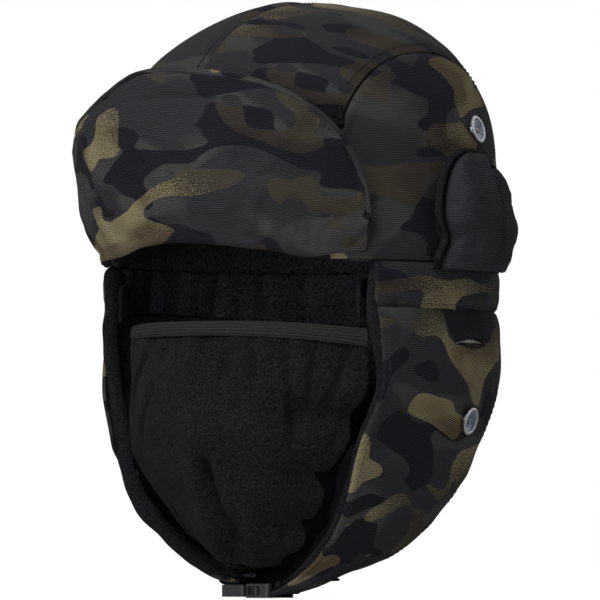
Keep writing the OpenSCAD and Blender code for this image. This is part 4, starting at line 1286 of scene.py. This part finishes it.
# folds run between two places, each given across the mask and down it, with a width and depth.
# edge holds the free edge: how far down it is and how far out, in millimetres.
maskLook = {"rows": 96, "cols": 150, "bank": 0.45, "fuller": 3, "narrower": 15, "droop": 4.5,
            "gather": 0.9, "soft": 1.1, "fuzz": 0.18, "folds": [
    ((0.08, 0.52), (0.12, 0.7), 5.0, 6.5), ((0.11, 0.66), (0.38, 1.0), 4.4, 7.0),
    ((0.13, 0.7), (0.37, 0.92), 3.4, 5.0), ((-0.3, 0.2), (-0.6, 0.48), 3.2, 3.0),
    ((-0.61, 0.72), (-0.7, 0.89), 3.4, 4.5), ((-0.67, 0.87), (-0.34, 1.0), 3.2, 4.5),
    ((0.62, 0.04), (0.73, 0.45), 3.8, 4.2), ((0.78, 0.03), (0.74, 0.41), 3.4, 3.2),
    ((0.93, 0.01), (0.87, 0.27), 3.0, 4.6), ((0.45, 0.04), (0.48, 0.23), 4.0, 2.6),
    ((-0.4, 0.06), (-0.76, 0.31), 3.0, 3.4), ((-0.16, 0.04), (-0.74, 0.54), 3.4, 3.2),
    ((0.98, 0.3), (0.93, 0.51), 3.4, 3.6), ((0.32, 0.73), (0.37, 0.94), 4.2, 2.6),
    ((0.84, 0.8), (0.8, 0.93), 3.4, 1.4), ((0.31, 0.05), (0.27, 0.2), 3.6, 2.0),
    ((0.52, 0.05), (0.6, 0.28), 3.4, 1.8), ((-0.95, 0.39), (-0.98, 0.75), 3.6, 2.4)],
    "edge": [
        (34, 70.2), (37.7, 70.2), (47.1, 71.4), (54.2, 71.3), (60.2, 68.5), (64.8, 64.5), (68.5, 60.5),
        (74.2, 60.4), (78.9, 61), (86.3, 57.4), (92.3, 52.2), (96, 47.6), (102.1, 45.7), (108.6, 45.5),
        (115.1, 41.8), (119.7, 35.9), (125.3, 33.9), (129.5, 33.7), (133.2, 29.5), (134.9, 22),
        (140, 17.7), (141, 13.7)]}
seamZ = mask["topZ"] - mask["bandHeight"]


def maskSideY(q, s=1):
    back = np.where(s < 0, mask["setBack"] * (1 - q ** 2), 0)
    return -mask["edgeY"] + 4 * q ** 3 + back


def maskHalf(q):
    z = seamZ - mask["height"] * q
    y = maskSideY(q)
    return skirtPoint(skirtAngle(y, z, mask["inside"]), z, mask["inside"])[..., 0] - mask["sideGap"]


def maskFreeHalf(q):
    # the free edge on the wearer's left, scalloped where its elastic gathers it
    edge = np.interp(mask["height"] * q - seamZ, *np.transpose(maskLook["edge"]))
    return np.minimum(edge, maskHalf(q) + 1)


def maskUnderHalf(q):
    # the mask's inner layer reaches under the flap beside it
    return maskHalf(q) * (1 - 0.1 * sind(180 * q))


def maskPoint(s, q):
    left = s > 0
    full = (maskLook["fuller"] * hump(q, 0.45, 0.2)
            - maskLook["narrower"] * np.clip((q - 0.5) / 0.5, 0, 1.05) ** 1.4)
    half = np.where(left, maskFreeHalf(q), maskHalf(q) * (0.955 + 0.045 * q) + full)
    front = -mask["noseY"] + 3 * (1 - q) ** 3 + mask["chinIn"] * q ** 2.6
    side = maskSideY(q, s)
    y = side + (front - side) * (1 - np.abs(s) ** 2)
    droop = maskLook["droop"] * power0(s, 3) * (1 - q) ** 2
    return points(half * s, y, seamZ - mask["height"] * q - droop)


def maskPanel():
    s = sideSteps(-1, 1, maskLook["cols"])
    q = (1 - np.linspace(0, 1, maskLook["rows"]))[:, None]
    grid = maskPoint(s, q)
    out = gridNormals(grid)
    gathers = hump(q, 0, 0.16) * (0.5 * sind(2300 * s + 30 * q) + 0.5 * sind(1400 * s + 50))
    lift = (maskLook["gather"] * gathers * np.clip(6 * (1 - np.abs(s)), 0, 1)
            + maskLook["soft"] * softNoise(grid, 38, 81))
    for (s1, q1), (s2, q2), width, depth in maskLook["folds"]:
        a, b = maskPoint(np.array(s1), np.array(q1)), maskPoint(np.array(s2), np.array(q2))
        bank = crease(grid, a, b, 2.4 * width)
        lift = lift + depth * (maskLook["bank"] * bank - 1.7 * crease(grid, a, b, 0.85 * width))
    lift = lift * np.clip(np.where(s > 0, 4.5, 8) * (1 - np.abs(s)), 0.1, 1)
    grid = grid + out * lift[..., None]
    grid = grid + out * (maskLook["fuzz"] * softNoise(grid, 4, 82))[..., None]
    panel = sheetPiece("maskPanel", grid, mask["thick"], "fleece")
    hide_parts("mask_panel")
    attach(panel, "mask")


def maskInnerLayer():
    q = upSteps(1.03, 0.2, 50)
    s = sideSteps(0.3, 1, 44)
    y = maskSideY(q) + (3.5 - mask["noseY"] + mask["chinIn"] * q ** 2.6 - maskSideY(q)) * (1 - s ** 2)
    grid = points(maskUnderHalf(q) * s, y + mask["innerGap"], seamZ - mask["height"] * q)
    grid = raised(grid, 0.4 * softNoise(grid, 30, 84))
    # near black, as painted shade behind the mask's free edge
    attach(sheetPiece("maskInnerLayer", grid, 1.2, "facing"), "mask")


def maskTopBand():
    # taller towards the wearer's left, and arched over the nose
    look = {"thick": 3.4, "low": 0.9, "less": 1.1, "tallerLeft": 1.8, "arch": 0.8, "out": 0.7,
            "belly": 0.9, "soft": 0.2}
    s = sideSteps(-1, 1, maskLook["cols"])
    rows = upSteps(0, 1, 9)
    low = maskPoint(s, np.array([[0.0]]))
    tall = mask["bandHeight"] - look["less"] + look["tallerLeft"] * power0(s, 2)
    z = low[..., 2] - look["low"] + tall * rows + look["arch"] * (1 - s ** 2)
    grid = points(low[..., 0], low[..., 1], z)
    grid = raised(grid, look["out"] + look["belly"] * sind(180 * rows)
                  + look["soft"] * softNoise(grid, 9, 83))
    top = sheetPiece("maskTopBand", grid, look["thick"], "elastic", metricUv(grid, (10, 10)))
    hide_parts("mask_top_band")
    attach(top, "mask")


maskPanel()
maskInnerLayer()
maskTopBand()
print("mask made")


# loop is the webbing's radius round the buckle's bar
strap = {"width": 15, "thick": 1.4, "loop": 2.4, "barIn": 1.1, "below": 0.9, "rightIn": 8.5}


def ribbonPiece(name, path):
    # flat webbing along points in the XZ plane
    path = np.asarray(path, float)
    fine = resample(path, 0.8)
    fine = np.vstack([path[:1], fine, path[-1:]])
    way = unit(np.gradient(fine, axis=0))
    normal = np.stack([-way[:, 2], 0 * way[:, 0], way[:, 0]], axis=1)
    across = np.linspace(-0.5, 0.5, 13)[:, None, None] * np.array([0, strap["width"], 0])
    grid = fine[None] + across + normal[None] * strap["thick"] / 2
    return sheetPiece(name, grid.transpose(1, 0, 2), strap["thick"], "webbing")


def chinStrap():
    low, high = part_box("chin_strap_left")
    y = (low.y + high.y) / 2 / mm
    buckleLow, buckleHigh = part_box("buckle_female")
    level = (buckleLow.z + buckleHigh.z) / 2 / mm
    top = earFlap["tipZ"] - strap["below"]
    barX = buckleHigh.x / mm - strap["barIn"]
    start, loop = high.x / mm, strap["loop"]
    turns = np.radians(np.arange(90, 271, 15))
    path = ([(start, y, top), (start - 4, y, top - 0.8), (barX + 5, y, level + loop + 0.3)]
            + [(barX + loop * math.cos(a), y, level + loop * math.sin(a)) for a in turns]
            + [(barX + 6, y, level - loop + 0.1)])
    left = ribbonPiece("webbing_left", path)
    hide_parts("chin_strap_left")
    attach(left, "ear_flap_left")
    # the right half weaves through the tongue's bars
    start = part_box("chin_strap_right")[0].x / mm + strap["rightIn"]
    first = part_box("buckle_male")[0].x / mm
    weave = ((-1.4, 2.4), (1, 1.9), (3.8, 0), (6.4, -1.9), (9, 0))
    path = [(start, y, top)] + [(first + x, y, level + z) for x, z in weave]
    right = ribbonPiece("webbing_right", path)
    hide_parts("chin_strap_right")
    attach(right, "ear_flap_right")


chinStrap()
print("chin strap made")


print("sheets declared")

# the mask's sockets wear the black fleece as painted shade, so that they sink into the shaded lining
finishes = {"upperMetal": ["upper_buttons"], "lowerMetal": ["lower_button_left", "lower_button_right"],
            "darkMetal": ["upper_button_tacks", "lower_button_tack_left", "lower_button_tack_right"],
            "blackMetal": ["mask_studs"],
            "plastic": ["buckle_female", "buckle_male"], "fleece": ["mask_sockets"]}
for finish, names in finishes.items():
    for name in names:
        data = cadNodes[name].data
        data.materials.clear()
        data.materials.append(materials[finish])


def wayTo(azimuth, elevation):
    # azimuth turns from the front round to the wearer's left, in degrees
    a, e = math.radians(azimuth), math.radians(elevation)
    return Vector((math.sin(a) * math.cos(e), -math.cos(a) * math.cos(e), math.sin(e)))


view = {"azimuth": 34, "elevation": -2, "distance": 3.4, "width": 0.282, "across": -0.00235,
        "height": -0.015}
light = {"world": 0.15, "key": 19, "side": 0.1, "front": 9.5, "floor": 0.9, "glow": 0.85,
         "distance": 1.6, "floorHalf": 6.0}


def stageAndLight():
    mesh = bpy.data.meshes.new("floor")
    size, level = light["floorHalf"], cadBox[0].z - 0.0005
    corners = [(-size, -size, level), (size, -size, level), (size, size, level), (-size, size, level)]
    mesh.from_pydata(corners, [], [(0, 1, 2, 3)])
    floor = bpy.data.objects.new("floor", mesh)
    bpy.context.scene.collection.objects.link(floor)
    material, tree, shader = newMaterial("paleFloor", 0.9, specular=0.1)
    shader.inputs["Base Color"].default_value = (light["floor"],) * 3 + (1,)
    shader.inputs["Emission Color"].default_value = (1, 1, 1, 1)
    ray = addNode(tree, "LightPath").outputs["Is Camera Ray"]
    tree.links.new(math2(tree, "MULTIPLY", ray, light["glow"]), shader.inputs["Emission Strength"])
    mesh.materials.append(material)

    world = bpy.data.worlds.new("studio")
    bpy.context.scene.world = world
    world.use_nodes = True
    tree = world.node_tree
    background = tree.nodes["Background"]
    background.inputs[0].default_value = (1, 1, 1, 1)
    path = addNode(tree, "LightPath").outputs
    seen = math2(tree, "MAXIMUM", path["Is Camera Ray"],
                 math2(tree, "MAXIMUM", path["Is Glossy Ray"], path["Is Transmission Ray"]))
    strength = math2(tree, "MULTIPLY_ADD", seen, 1 - light["world"], light["world"])
    tree.links.new(strength, background.inputs[1])

    lamps = (("key", 12, 44, light["key"], 0.55), ("side", 95, 20, light["side"], 1.4),
             ("front", 16, -3, light["front"], 0.6))
    for name, azimuth, height, power, size in lamps:
        lamp = bpy.data.lights.new(name, "AREA")
        lamp.energy, lamp.size = power, size
        made = bpy.data.objects.new(name, lamp)
        made.location = wayTo(azimuth, height) * light["distance"]
        made.rotation_euler = made.location.to_track_quat("Z", "Y").to_euler()
        bpy.context.scene.collection.objects.link(made)


def addCamera():
    back, right = wayTo(view["azimuth"], view["elevation"]), wayTo(view["azimuth"] + 90, 0)
    target = right * view["across"] + Vector((0, 0, view["height"]))
    data = bpy.data.cameras.new("camera")
    data.sensor_width = 36
    data.lens = data.sensor_width * view["distance"] / view["width"]
    camera = bpy.data.objects.new("camera", data)
    camera.location = target + back * view["distance"]
    camera.rotation_euler = back.to_track_quat("Z", "Y").to_euler()
    bpy.context.scene.collection.objects.link(camera)
    bpy.context.scene.camera = camera


stageAndLight()
addCamera()
bpy.context.scene.view_settings.view_transform = "Standard"
print("stage set")
